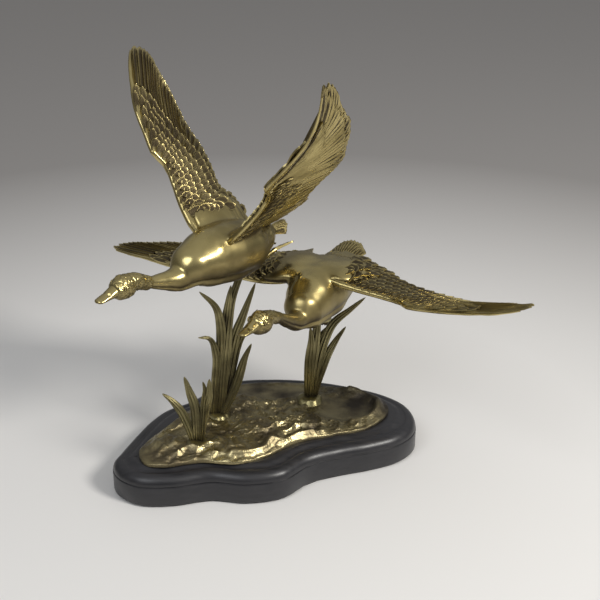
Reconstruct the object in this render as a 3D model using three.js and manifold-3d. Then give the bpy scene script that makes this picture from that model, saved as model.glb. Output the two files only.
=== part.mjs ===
// Brass figurine of two geese in flight over reeds, on a lacquered wooden plinth.
// Millimetres, +Z up, +X to the right and +Y away from the viewer of its front.
// The origin lies under the felt, at the middle of the plinth.
import * as THREE from 'three';
import { mergeVertices } from 'three/addons/utils/BufferGeometryUtils.js';
import Module from 'manifold-3d';

const wasm = await Module();
wasm.setup();
const { Vector3, Matrix4 } = THREE;

// Clearances, and the sides of round bores and discs
const fitGap = 0.3;
const boreSides = 10;
const discSides = 16;

// Plinth of turned-edge wood, with felt under it
const feltThickness = 1;
const feltInset = 1.5;
const plinthThickness = 20;
const plinthWallHeight = 12;
const plinthFootChamfer = 0.8;
const grooveDepth = 0.9;
const grooveHeight = 0.8;
const beadInset = 6.4;
const beadHeight = 5.6;
const stepInset = 0.6;
const ogeeInset = 12.5;
const plinthSides = 48;
const plinthOutline = [
  [-86.5, -48], [-83.5, -37], [-77, -18], [-70, -1], [-62, 11], [-49, 21], [-37, 35], [-20, 48.5],
  [4, 51.5], [28, 49.5], [55, 41.5], [77, 30.5], [90, 17.5], [94.5, 2], [92, -12], [83, -23],
  [66, -31.5], [46, -38], [29, -45.5], [13, -61], [-8, -66], [-28, -63.4], [-50, -68.5], [-69, -68],
  [-82, -59],
];

// Brass ground plate on the plinth
const groundEdge = 1.6;
const groundFloor = 3;
const groundCragHeight = 0.95;
const groundPoolDepth = 0.9;
const groundCentre = [0, -8];
const groundPoints = 58;
const groundRings = 12;
const groundOutline = [
  [-71, -45], [-66, -57], [-56, -59.5], [-34, -54.5], [-13, -56], [3, -49], [21, -34],
  [42, -26], [63, -18], [76, -3], [77, 9], [70, 20], [56, 27.5], [34, 34], [8, 37.5], [-14, 34.5],
  [-30, 22], [-43, 6], [-53, -9], [-60, -21], [-68, -35],
];
const groundBanks = [
  { at: [-50, -42], reach: [17, 12], rise: 4.2 },
  { at: [-24, -41], reach: [15, 10], rise: 3.4 },
  { at: [-36, -17], reach: [11, 15], rise: 4.4 },
  { at: [-4, -22], reach: [17, 12], rise: 4.8 },
  { at: [24, -14], reach: [16, 9], rise: 3.6 },
  { at: [-16, 6], reach: [13, 12], rise: 4.6 },
  { at: [30, 13], reach: [11, 9], rise: 4.2 },
  { at: [5.6, -38], reach: [5, 4], rise: 2.6 },
  { at: [72, 6], reach: [5, 15], rise: 3.4 },
  { at: [55, 22], reach: [14, 6], rise: 2.4 },
];
const groundPools = [
  { at: [2, 24], reach: [30, 10] },
  { at: [50, 2], reach: [19, 15] },
  { at: [-46, -27], reach: [9, 7] },
];

// A rolled bank along the front, and a lip along the right edge
const groundRolls = [
  {
    path: [[-16, -50], [-6, -48.5], [2, -44], [6, -38.5], [15, -36.5], [22, -30.5], [30, -27.5]],
    width: 2.6,
    rise: 2.6,
  },
  { path: [[54, -14], [66, -7], [71.5, 2], [70.5, 11], [63, 18], [54, 22]], width: 2.8, rise: 2.4 },
];

// Rough ground: sharp crests that cross on a bent grid, each [share of x, share of y, shift]
const cragCrests = [[0.33, 0.12, 0], [-0.16, 0.29, 0.8], [0.21, -0.27, 2.1]];
const cragLevel = 1.1;

// Screws that clamp each reed clump, the ground plate and the plinth together
const clampScrewShank = 5;
const clampScrewHead = 9;
const clampScrewHeadHeight = 3.5;
const clampScrewSlot = 1.2;
const clampScrewBite = 3.6;
const washerDiameter = 12;
const washerThickness = 1;
const counterboreDiameter = 16;
const counterboreDepth = 8;

// Reed clumps: a round foot let into the ground plate, and blades with a midrib
const footDiameter = 17;
const footTaper = 2.5;
const footHeight = 5.4;
const footSeat = 1.6;
const footCollar = 2;
const bladeSides = 6;
const bladeSteps = 6;
const bladeTipShare = 0.34;
const bladeTaperFrom = 0.6;
const saddleDiameter = 9;
const saddleThickness = 2.2;

// Belly screws that hold each bird down on its reeds
const bellyScrewShank = 3;
const bellyScrewHead = 6;
const bellyScrewHeadHeight = 2.2;
const bellyScrewBite = 7;
const bellyScrewLength = 7;
const bellyBossHeight = 0.8;

// One bird casting: body, neck, head and bill
const bodyFront = 39;
const bodyBack = 35;
const bodyHalfWidth = 18;
const bodyTop = 16.5;
const bodyBottom = 18.5;
const bodySides = 12;
const bodyRings = 26;
const neckRadius = 3.3;
const neckRootRadius = 4.9;
const neckBaseRadius = 7.4;
const napeRadius = 4.3;
const headHalfWidth = 5.9;
const headHalfHeight = 6.6;
const browLength = 2;
const billLength = 10.4;
const billHalfWidth = 3.4;
const billHalfHeight = 2.8;
const billTipHalf = 0.9;
const eyeRadius = 1.5;

// The body from the rump to the breast, as shares of its half sizes
const bodyShape = [
  { along: -1, width: 0.3, top: 0.3, bottom: 0.26, lift: 3 },
  { along: -0.76, width: 0.6, top: 0.58, bottom: 0.58, lift: 2 },
  { along: -0.36, width: 0.92, top: 0.9, bottom: 0.93, lift: 0 },
  { along: 0.05, width: 1, top: 1, bottom: 1, lift: 0 },
  { along: 0.45, width: 0.91, top: 0.94, bottom: 0.94, lift: -0.5 },
  { along: 0.75, width: 0.72, top: 0.7, bottom: 0.76, lift: -2.4 },
];

// One wing casting, seated at the shoulder by a tenon
const shoulderForward = 14;
const shoulderSink = 6;
const shoulderRise = 9;
const wingLength = 139;
const wingChord = 45;
const wingFeathers = 14;
const wingSteps = 56;
const wingRootThickness = 4.6;
const featherThickness = 1.1;
const featherRelief = 0.7;
const covertStep = 0.5;
const wingCamber = 4;
const tenonLength = 12;
const tenonWidth = 16;
const tenonThickness = 3;
const tenonFromLead = 8;

// Roots of the feathers along the leading edge, as shares of the wing's length from the body outwards
const featherRoots = [0.02, 0.12, 0.22, 0.31, 0.39, 0.46, 0.52, 0.57, 0.6];

// Tips of the feathers, as shares of the wing's length and chord
const featherTips = [[0.02, 1.06], [0.28, 0.95], [0.54, 0.87], [0.76, 0.63], [0.905, 0.38], [1.03, 0.09]];

// The leading edge dips behind the arm and stands out at the wrist
const leadInsets = [0, 0.7, 3.6, 4.2, -2.8, -1.6, -1, 1, 1.2, 1.4, 1.5];

// Rows of points over and under the wing, from the feathers' roots to their tips.
// Two steps down on the upper side end the coverts; full is the share of the wing's thickness
const wingOverRows = [
  { along: 0, raise: 0, full: 0.3 },
  { along: 0.05, raise: 0, full: 1 },
  { along: 0.28, raise: -0.2, full: 1 },
  { along: 0.31, raise: -1.4, full: 1 },
  { along: 0.5, raise: -1.2, full: 1 },
  { along: 0.53, raise: -2.4, full: 1 },
  { along: 0.78, raise: -2.2, full: 1 },
  { along: 1, raise: -2, full: 1 },
];
const wingUnderRows = [
  { along: 0, raise: 0, full: 0.3 },
  { along: 0.08, raise: 0, full: 1 },
  { along: 0.55, raise: 0.2, full: 1 },
  { along: 1, raise: 0.35, full: 1 },
];

// Samples across one feather: its low edge, its shaft and its high edge
const vaneSamples = [
  { across: 0.1, raise: 0, reach: -0.55 },
  { across: 0.5, raise: 0.65, reach: 0 },
  { across: 0.9, raise: 1, reach: -0.45 },
];
const covertScallop = 0.018;

// Tail fan, let into the rump by a tongue
const tailFeathers = 7;
const tailLift = 14;
const tailThickness = 1.4;
const tailRootRise = 3;
const tailSeat = 3;
const tailCrown = 2.4;
const tailNotch = 0.09;
const tongueLength = 8;
const tongueThickness = 2;
const tongueRise = 0.7;

// Legs stretched back under the tail, with webbed feet
const legSpacingShare = 0.72;
const legRise = 5;
const legLength = 15;
const legRadius = 1.5;
const legSocketDepth = 5;
const webLength = 14;
const webWidth = 13;
const webThickness = 1.2;
const webRoll = 0.5;
const webPitch = 0.12;
const toeRadius = 1;
const toeSplay = 0.42;

// The two birds: place of the body's middle, attitude in degrees, neck and wings.
// A wing is widened along its chord and set back in the middle of its span
const upperBird = {
  name: 'upper_bird',
  place: [-18.5, -5, 133.5],
  turn: 229,
  noseDown: -3.5,
  bank: 0,
  breastWidth: 1,
  neckSlim: 1,
  neckBaseLift: -7.3,
  neck: [[50, 0, -6.3], [60, 0, -4.4]],
  head: [78, 0, -2],
  headTurn: 0,
  headDip: 11,
  saddleForward: -15,
  tail: { length: 16, spread: 8, arch: 5, rootWidth: 8 },
  leftWing: {
    rise: [46, 54, 41.5, 49, 83.5],
    sweep: [-2.5, 13.5, 12, 13, 8.5],
    droop: [-5, 4.5, 6, -2, -5],
    widen: 1.06,
    setBack: 3.2,
    fairing: { at: [4.2, 16, 2], reach: [7, 16, 3] },
  },
  rightWing: {
    rise: [45, 52, 48.5, 45.5, 9.5],
    sweep: [8.5, -6, -3.5, -25.5, -48],
    droop: [7, 10.5, -3.5],
    widen: 1,
    setBack: -0.8,
    fairing: { at: [3, 24, 2.5], reach: [19, 22.5, 5.5] },
  },
};
const lowerBird = {
  name: 'lower_bird',
  place: [35.5, 14, 102],
  turn: 246.5,
  noseDown: 1.5,
  bank: 8,
  breastWidth: 0.9,
  neckSlim: 0.84,
  neckBaseLift: -4.6,
  neck: [[48.5, 0, -0.8], [59.5, 0, 6.4]],
  head: [76, -2, 11.4],
  headTurn: -12,
  headDip: -2,
  saddleForward: 3,
  tail: { length: 21, spread: 20, arch: 4, rootWidth: 10 },
  leftWing: {
    rise: [-17.5, -9.5, 7.5, 15, 23.5],
    sweep: [2.5, 10.5, 22.5, 28, 16],
    droop: [6.5, 20, 15.5],
    widen: 1,
    setBack: -1.5,
    fairing: { at: [4, 20, 2.5], reach: [14, 20, 5] },
  },
  rightWing: {
    rise: [-6.5, 13, 8.5, 3.5, -3.5],
    sweep: [19, 4, -2.5, -14, -28.5],
    droop: [1.5, 4.5, -3.5],
    widen: 1,
    setBack: 0,
    fairing: { at: [3, 17, 3.5], reach: [20, 22, 6.5] },
  },
};

// Blades run from their foot to their tip, as offsets from the middle of the clump's foot.
// Above leanHeight each clump's blades stand off by its lean
const leanHeight = 40;
const tallReeds = {
  name: 'tall_reeds',
  at: [-27.8, -10],
  lean: [2.5, 5.3],
  blades: [
    { width: 6.2, path: [[-1.5, 0, 4], [0.8, -1.3, 45], [0.9, -2.3, 66], [-1.5, -3.5, 76], [-10, -9, 88]] },
    { width: 7, path: [[0.5, 0.7, 4], [3.7, 0.7, 44], [4.7, 0.7, 68], [7.8, 0, 88]] },
    { width: 6, path: [[2.8, 1.7, 4], [9, 4.7, 52], [13.5, 6.7, 64], [21.5, 12.7, 84]] },
    { width: 5.6, path: [[2.6, 2, 4], [6, 2.7, 24], [11.1, 5.7, 48.4], [17.7, 7.7, 59], [22.5, 10.7, 67.5]] },
    { width: 5.6, path: [[3, -1.5, 4], [10.6, 1, 23.3], [14.7, 2.7, 38.7], [18.8, 4.7, 47.5]] },
    { width: 5.4, path: [[-2.8, -1, 4], [-2, -1.3, 26], [-2, -2.3, 43], [-5.5, -4.6, 55.5], [-12, -7, 57.4]] },
  ],
  carrier: { width: 6, path: [[2, 0, 4], [5.6, 0.7, 64], [8, 2.7, 78]] },
};
const frontReeds = {
  name: 'front_reeds',
  at: [-37.4, -41],
  lean: [1.3, 3.2],
  blades: [
    { width: 5.4, path: [[-2, 0, 4], [-5.3, -0.2, 14.5], [-9.4, -1.2, 24.5], [-14.7, -2, 31.7], [-20, -2, 36]] },
    { width: 6, path: [[-0.4, 0, 4], [-1.3, -0.2, 26], [-4.5, 0.8, 35.2], [-7.6, 1.8, 44.8]] },
    { width: 5.8, path: [[1.3, 0, 4], [3.8, -0.2, 22.5], [6.6, -1.2, 35], [7.2, -2.2, 45.4]] },
    { width: 4.4, path: [[2.4, -0.6, 4], [4, -1, 29], [4.4, -1.2, 37.7], [3.4, -2.2, 43.8]] },
  ],
};
const rightReeds = {
  name: 'right_reeds',
  at: [28.9, 11.1],
  lean: [0, 0],
  blades: [
    { width: 5.8, path: [[2, 0.5, 4], [3.6, 0.9, 18], [7.8, 2.9, 39], [14, 7, 52], [24.4, 11, 59.5], [34, 15, 66]] },
    { width: 5.2, path: [[2.4, 0.9, 4], [4.9, 1.5, 14.5], [11, 2.9, 33], [16, 5.9, 41.3], [22, 8.9, 49]] },
    { width: 5.8, path: [[-1.5, 0, 4], [-0.6, -0.6, 30], [0.6, -1.5, 44], [0, -3.2, 54.5]] },
    { width: 4.8, path: [[1, 1, 4], [2, 1.4, 26], [3.6, 2, 42], [10.5, 3.4, 52]] },
  ],
  carrier: { width: 6.6, path: [[0, 0, 4], [0.6, 0.2, 22], [2.4, 0.6, 38]] },
};

// Colours and finishes
const finishes = {
  polishedBrass: { color: 0x9c8a3c, roughness: 0.24, metalness: 1 },
  featherBrass: { color: 0x8d7d3a, roughness: 0.34, metalness: 1 },
  reedBrass: { color: 0x6f6a3a, roughness: 0.42, metalness: 1 },
  groundBrass: { color: 0x7d6a2e, roughness: 0.4, metalness: 1 },
  screwSteel: { color: 0x8b8d90, roughness: 0.35, metalness: 1 },
  blackLacquer: { color: 0x17181b, roughness: 0.3, metalness: 0 },
  blackFelt: { color: 0x1d1d20, roughness: 0.95, metalness: 0 },
};

function material(finish) {
  return new THREE.MeshStandardMaterial(finishes[finish]);
}

function piece(name, geometry, finish) {
  const mesh = new THREE.Mesh(geometry, material(finish));
  mesh.name = name;
  return mesh;
}

// Closed meshes and solids

function signedVolume(vertices, triangles) {
  let total = 0;
  for (let i = 0; i < triangles.length; i += 3) {
    const [a, b, c] = [0, 1, 2].map((k) => vertices[triangles[i + k]]);
    total += a.dot(b.clone().cross(c)) / 6;
  }
  return total;
}

function closedMesh(vertices, triangles) {
  const inward = signedVolume(vertices, triangles) < 0;
  const order = inward ? triangles.slice().reverse() : triangles;
  const geometry = new THREE.BufferGeometry();
  const places = vertices.flatMap((p) => p.toArray());
  geometry.setAttribute('position', new THREE.Float32BufferAttribute(places, 3));
  geometry.setIndex(order);
  geometry.computeVertexNormals();
  return geometry;
}

function toSolid(geometry) {
  const bare = geometry.clone();
  bare.deleteAttribute('normal');
  bare.deleteAttribute('uv');
  const welded = mergeVertices(bare, 1e-4);
  return new wasm.Manifold(new wasm.Mesh({
    numProp: 3,
    vertProperties: new Float32Array(welded.attributes.position.array),
    triVerts: new Uint32Array(welded.index.array),
  }));
}

function toGeometry(solid) {
  const mesh = solid.getMesh();
  const geometry = new THREE.BufferGeometry();
  geometry.setAttribute('position', new THREE.BufferAttribute(mesh.vertProperties, 3));
  geometry.setIndex(new THREE.BufferAttribute(mesh.triVerts, 1));
  geometry.computeVertexNormals();
  return geometry;
}

function joined(...solids) {
  return solids.reduce((whole, next) => whole.add(next));
}

function cutBy(solid, ...cutters) {
  return cutters.reduce((rest, cutter) => rest.subtract(cutter), solid);
}

function upright(bottomRadius, topRadius, bottom, top, sides, at = [0, 0]) {
  const geometry = new THREE.CylinderGeometry(topRadius, bottomRadius, top - bottom, sides);
  geometry.rotateX(Math.PI / 2);
  geometry.translate(at[0], at[1], (top + bottom) / 2);
  return geometry;
}

// A frame of three axes at a point, as a matrix
function frameAt(origin, xAxis, yAxis, zAxis) {
  return new Matrix4().makeBasis(xAxis, yAxis, zAxis).setPosition(origin);
}

// Plan outlines

function flatCurve(points, closed) {
  return new THREE.CatmullRomCurve3(points.map(([x, y]) => new Vector3(x, y, 0)), closed, 'centripetal');
}

function planCurve(points, count) {
  return flatCurve(points, true).getSpacedPoints(count).slice(0, count);
}

function inwardNormals(points) {
  const doubleArea = points.reduce((sum, p, i) => {
    const q = points[(i + 1) % points.length];
    return sum + p.x * q.y - q.x * p.y;
  }, 0);
  const side = Math.sign(doubleArea);
  return points.map((p, i) => {
    const before = points[(i + points.length - 1) % points.length];
    const after = points[(i + 1) % points.length];
    return new Vector3(before.y - after.y, after.x - before.x, 0).normalize().multiplyScalar(side);
  });
}

// A stack of rings drawn in from an outline, with flat ends: each level is [inset, height]
function outlineStack(points, levels) {
  const normals = inwardNormals(points);
  const count = points.length;
  const vertices = [];
  for (const [inset, height] of levels) {
    points.forEach((p, i) => {
      vertices.push(new Vector3(p.x + normals[i].x * inset, p.y + normals[i].y * inset, height));
    });
  }
  const triangles = [];
  for (let level = 0; level + 1 < levels.length; level += 1) {
    for (let i = 0; i < count; i += 1) {
      const a = level * count + i;
      const b = level * count + ((i + 1) % count);
      triangles.push(a, b, a + count, b, b + count, a + count);
    }
  }
  const ringShape = (start) => vertices.slice(start, start + count).map((p) => new THREE.Vector2(p.x, p.y));
  const last = (levels.length - 1) * count;
  const clockwise = THREE.ShapeUtils.isClockWise(ringShape(0));
  for (const [a, b, c] of THREE.ShapeUtils.triangulateShape(ringShape(0), [])) {
    triangles.push(...(clockwise ? [a, b, c] : [a, c, b]));
  }
  for (const [a, b, c] of THREE.ShapeUtils.triangulateShape(ringShape(last), [])) {
    triangles.push(...(clockwise ? [last + a, last + c, last + b] : [last + a, last + b, last + c]));
  }
  return closedMesh(vertices, triangles);
}

// Heights that the pieces share
const plinthBottom = feltThickness;
const plinthTop = plinthBottom + plinthThickness;
const footBottom = plinthTop + footSeat;
const footTop = footBottom + footHeight;
const counterboreTop = plinthBottom + counterboreDepth;
const reedClumps = [tallReeds, frontReeds, rightReeds];

// Clearance bore for a clamp screw
function clampBore(at, bottom, top) {
  const radius = clampScrewShank / 2 + fitGap;
  return toSolid(upright(radius, radius, bottom, top, boreSides, at));
}

// Felt and plinth

function feltPad() {
  const outline = planCurve(plinthOutline, plinthSides);
  return outlineStack(outline, [[feltInset, 0], [feltInset, feltThickness]]);
}

function plinth() {
  const outline = planCurve(plinthOutline, plinthSides);
  const wallTop = plinthBottom + plinthWallHeight;
  const grooveTop = wallTop + grooveHeight;
  const beadTop = grooveTop + beadHeight;
  const levels = [
    [plinthFootChamfer, plinthBottom],
    [0, plinthBottom + plinthFootChamfer],
    [0, wallTop],
    [grooveDepth, wallTop + grooveHeight / 2],
  ];
  const beadSteps = 3;
  for (let i = 0; i <= beadSteps; i += 1) {
    const angle = (i / beadSteps) * (Math.PI / 2);
    const startInset = grooveDepth / 3;
    levels.push([
      startInset + (beadInset - startInset) * (1 - Math.cos(angle)),
      grooveTop + beadHeight * Math.sin(angle),
    ]);
  }
  const ogeeSteps = 3;
  const ogeeStart = beadInset + stepInset;
  for (let i = 1; i <= ogeeSteps; i += 1) {
    const share = i / ogeeSteps;
    const rise = (1 - Math.cos(share * Math.PI)) / 2;
    levels.push([ogeeStart + (ogeeInset - ogeeStart) * share, beadTop + (plinthTop - beadTop) * rise]);
  }
  const counterboreRadius = counterboreDiameter / 2;
  const bores = reedClumps.map(({ at }) => joined(
    toSolid(upright(counterboreRadius, counterboreRadius, plinthBottom - 1, counterboreTop, discSides, at)),
    clampBore(at, plinthBottom, plinthTop + 1),
  ));
  return toGeometry(cutBy(toSolid(outlineStack(outline, levels)), ...bores));
}

// Ground plate: a heightfield on rings that shrink towards the middle of its outline

function spreadFrom(x, y, { at, reach }) {
  return ((x - at[0]) / reach[0]) ** 2 + ((y - at[1]) / reach[1]) ** 2;
}

const rollLines = groundRolls.map(({ path, width, rise }) => ({
  line: flatCurve(path, false).getSpacedPoints(40),
  width,
  rise,
}));

function nearRoll(x, y, { line, width }) {
  const distance = Math.min(...line.map((p) => Math.hypot(p.x - x, p.y - y)));
  return Math.exp(-((distance / width) ** 2));
}

function crags(x, y) {
  const bentX = x + 2.2 * Math.sin(y * 0.21 + 1.3) + 1.1 * Math.sin(x * 0.53 - y * 0.37);
  const bentY = y + 2 * Math.sin(x * 0.19 + 0.7) + Math.cos(x * 0.47 + y * 0.31);
  const crests = cragCrests.map(([a, b, shift]) => 1 - Math.abs(Math.sin(a * bentX + b * bentY + shift)));
  return crests.reduce((sum, crest) => sum + crest) - cragLevel;
}

function groundHeight(x, y) {
  const banks = groundBanks.map((bank) => bank.rise * Math.exp(-1.1 * spreadFrom(x, y, bank)));
  const pools = groundPools.map((pool) => 1 - THREE.MathUtils.smoothstep(spreadFrom(x, y, pool), 0.6, 1.3));
  const rolls = rollLines.map((roll) => ({ near: nearRoll(x, y, roll), rise: roll.rise }));
  const inPool = Math.max(...pools);
  const onRoll = Math.min(1, rolls.reduce((sum, { near }) => sum + near, 0));
  const bankRise = banks.reduce((sum, rise) => sum + rise);
  const rollRise = rolls.reduce((sum, { near, rise }) => sum + near * rise, 0);
  const rough = (1 - inPool) * (1 - onRoll) * groundCragHeight * crags(x, y);
  return groundFloor + bankRise + rollRise + rough - inPool * groundPoolDepth;
}

function groundPlate() {
  const outline = planCurve(groundOutline, groundPoints);
  const count = outline.length;
  const centre = new Vector3(...groundCentre, 0);
  const innerShares = Array.from({ length: groundRings }, (_, i) => 1 - (i / groundRings) ** 0.94);
  const ringShares = [1, ...innerShares];
  const vertices = [];
  ringShares.forEach((share, ring) => {
    for (const p of outline) {
      const x = centre.x + (p.x - centre.x) * share;
      const y = centre.y + (p.y - centre.y) * share;
      const height = [0, groundEdge][ring] ?? Math.max(groundEdge, groundHeight(x, y));
      vertices.push(new Vector3(x, y, plinthTop + height));
    }
  });
  const triangles = [];
  for (let ring = 0; ring + 1 < ringShares.length; ring += 1) {
    for (let i = 0; i < count; i += 1) {
      const a = ring * count + i;
      const b = ring * count + ((i + 1) % count);
      triangles.push(a, b, a + count, b, b + count, a + count);
    }
  }
  const peak = new Vector3(centre.x, centre.y, plinthTop + groundHeight(centre.x, centre.y));
  const top = vertices.push(peak) - 1;
  const lastRing = (ringShares.length - 1) * count;
  for (let i = 0; i < count; i += 1) {
    triangles.push(lastRing + i, lastRing + ((i + 1) % count), top);
  }
  const outlineShape = outline.map((p) => new THREE.Vector2(p.x, p.y));
  const clockwise = THREE.ShapeUtils.isClockWise(outlineShape);
  for (const [a, b, c] of THREE.ShapeUtils.triangulateShape(outlineShape, [])) {
    triangles.push(...(clockwise ? [a, b, c] : [a, c, b]));
  }
  const seatRadius = footDiameter / 2 + fitGap;
  const seats = reedClumps.map(({ at }) => joined(
    toSolid(upright(seatRadius, seatRadius, footBottom, footTop + footHeight, discSides, at)),
    clampBore(at, plinthTop - 1, footBottom + 1),
  ));
  return toGeometry(cutBy(toSolid(closedMesh(vertices, triangles)), ...seats));
}

// Clamp screws and washers, up through the plinth into each clump's foot

function clampWasher(at) {
  const bottom = counterboreTop - washerThickness;
  const radius = washerDiameter / 2;
  const disc = toSolid(upright(radius, radius, bottom, counterboreTop, discSides, at));
  return toGeometry(cutBy(disc, clampBore(at, bottom - 1, counterboreTop + 1)));
}

function clampScrew(at) {
  const headTop = counterboreTop - washerThickness;
  const headBottom = headTop - clampScrewHeadHeight;
  const slot = new THREE.BoxGeometry(clampScrewHead + 1, clampScrewSlot, clampScrewSlot * 2);
  slot.translate(at[0], at[1], headBottom);
  const headRadius = clampScrewHead / 2;
  const head = toSolid(upright(headRadius - 1, headRadius, headBottom, headTop, boreSides, at));
  const shankRadius = clampScrewShank / 2;
  const shankTop = footBottom + clampScrewBite;
  const shank = toSolid(upright(shankRadius, shankRadius, headTop - 1, shankTop, boreSides, at));
  return toGeometry(joined(cutBy(head, toSolid(slot)), shank));
}

// Lofts along a spine: each station has a centre and half sizes to the side, up and down

function smoothStations(stations, count) {
  const centres = stations.map(({ at }) => new Vector3(...at));
  const spine = new THREE.CatmullRomCurve3(centres, false, 'centripetal');
  const sizes = stations.map(({ half }) => new Vector3(...half));
  const places = spine.points.map((_, i) => i / (stations.length - 1));
  return Array.from({ length: count + 1 }, (_, i) => {
    const share = i / count;
    const upper = Math.max(1, places.findIndex((place) => place >= share - 1e-9));
    const local = (share - places[upper - 1]) / (places[upper] - places[upper - 1]);
    const eased = local * local * (3 - 2 * local);
    return {
      centre: spine.getPoint(share),
      ahead: spine.getTangent(share),
      half: sizes[upper - 1].clone().lerp(sizes[upper], (eased + local) / 2),
    };
  });
}

function lofted(rings, sides, upHint) {
  const vertices = [];
  for (const { centre, ahead, half } of rings) {
    const across = upHint.clone().cross(ahead).normalize();
    const up = ahead.clone().cross(across).normalize();
    for (let k = 0; k < sides; k += 1) {
      const angle = (k / sides) * Math.PI * 2;
      const high = Math.sin(angle) * (Math.sin(angle) > 0 ? half.y : half.z);
      vertices.push(centre.clone()
        .addScaledVector(across, Math.cos(angle) * half.x)
        .addScaledVector(up, high));
    }
  }
  const triangles = [];
  for (let ring = 0; ring + 1 < rings.length; ring += 1) {
    for (let k = 0; k < sides; k += 1) {
      const a = ring * sides + k;
      const b = ring * sides + ((k + 1) % sides);
      triangles.push(a, a + sides, b, b, a + sides, b + sides);
    }
  }
  const first = vertices.push(rings[0].centre.clone()) - 1;
  const last = vertices.push(rings[rings.length - 1].centre.clone()) - 1;
  const lastRing = (rings.length - 1) * sides;
  for (let k = 0; k < sides; k += 1) {
    const next = (k + 1) % sides;
    triangles.push(first, k, next, last, lastRing + next, lastRing + k);
  }
  return closedMesh(vertices, triangles);
}

// Bird casting, in the bird's own frame: +X to the bill, +Y to its left, +Z up

function headDirection(bird) {
  const turn = THREE.MathUtils.degToRad(bird.headTurn);
  const dip = THREE.MathUtils.degToRad(bird.headDip);
  return new Vector3(Math.cos(turn) * Math.cos(dip), Math.sin(turn) * Math.cos(dip), -Math.sin(dip));
}

function birdStations(bird, grow) {
  const onBody = bodyShape.map(({ along, width, top, bottom, lift }) => ({
    at: [along * (along < 0 ? bodyBack : bodyFront), 0, lift],
    half: [
      width * bodyHalfWidth * (along > 0.2 ? bird.breastWidth : 1), top * bodyTop, bottom * bodyBottom,
    ],
  }));
  const neckHalf = (radius) => Array(3).fill(radius * bird.neckSlim);
  const headWay = headDirection(bird);
  const onHead = (ahead) => new Vector3(...bird.head).addScaledVector(headWay, ahead).toArray();
  const billBase = headHalfHeight + browLength;
  const browHalf = [headHalfWidth - 0.8, headHalfHeight - 1.6, headHalfHeight - 1.8];
  const onNeckAndHead = [
    { at: [bodyFront, 0, bird.neckBaseLift], half: neckHalf(neckBaseRadius) },
    { at: bird.neck[0], half: neckHalf(neckRootRadius) },
    { at: bird.neck[1], half: neckHalf(neckRadius) },
    { at: onHead(-headHalfHeight), half: neckHalf(napeRadius) },
    { at: onHead(0), half: [headHalfWidth, headHalfHeight, headHalfHeight - 0.8] },
    { at: onHead(headHalfHeight * 0.7), half: browHalf },
    { at: onHead(billBase), half: [billHalfWidth, billHalfHeight + 0.6, billHalfHeight] },
    { at: onHead(billBase + billLength * 0.6), half: [billHalfWidth, billTipHalf * 1.7, billTipHalf * 1.8] },
    { at: onHead(billBase + billLength), half: [billHalfWidth - 1.2, billTipHalf, billTipHalf] },
  ];
  return [...onBody, ...onNeckAndHead].map(({ at, half }) => ({ at, half: half.map((size) => size + grow) }));
}

function birdLoft(bird, grow) {
  const rings = smoothStations(birdStations(bird, grow), bodyRings);
  return toSolid(lofted(rings, bodySides, new Vector3(0, 0, 1)));
}

// Lowest level of the body over the saddle, in the bird's frame
function bellyLevel(bird) {
  const rings = smoothStations(birdStations(bird, 0), bodyRings);
  const reach = saddleDiameter / 2;
  const overSaddle = rings.filter(({ centre }) => Math.abs(centre.x - bird.saddleForward) < reach);
  return Math.min(...overSaddle.map(({ centre, half }) => centre.z - half.z));
}

function bellyBoss(bird) {
  const low = bellyLevel(bird);
  const radius = saddleDiameter / 2;
  const sunk = low + bellyBossHeight * 5;
  return toSolid(upright(radius, radius, low - bellyBossHeight, sunk, discSides, [bird.saddleForward, 0]));
}

function bellyBore(bird, radius) {
  const low = bellyLevel(bird);
  const bottom = low - bellyBossHeight - 2 * saddleThickness - bellyScrewLength;
  const top = low + bellyScrewBite + fitGap;
  return toSolid(upright(radius, radius, bottom, top, boreSides, [bird.saddleForward, 0]));
}

function eyes(bird) {
  const headWay = headDirection(bird);
  const across = new Vector3(0, 0, 1).cross(headWay).normalize();
  return [-1, 1].map((side) => {
    const ball = new THREE.SphereGeometry(eyeRadius, 6, 4);
    const centre = new Vector3(...bird.head)
      .addScaledVector(headWay, headHalfHeight * 0.35)
      .addScaledVector(across, side * (headHalfWidth - eyeRadius * 0.6));
    ball.translate(centre.x, centre.y, centre.z + headHalfHeight * 0.28);
    return toSolid(ball);
  });
}

// Wings: a flat pattern of feathers, bent along the span by rise, sweep and droop in degrees

function alongNodes(nodes, share) {
  const place = THREE.MathUtils.clamp(share, 0, 1) * (nodes.length - 1);
  const low = Math.min(Math.floor(place), nodes.length - 2);
  return THREE.MathUtils.lerp(nodes[low], nodes[low + 1], place - low);
}

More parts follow.
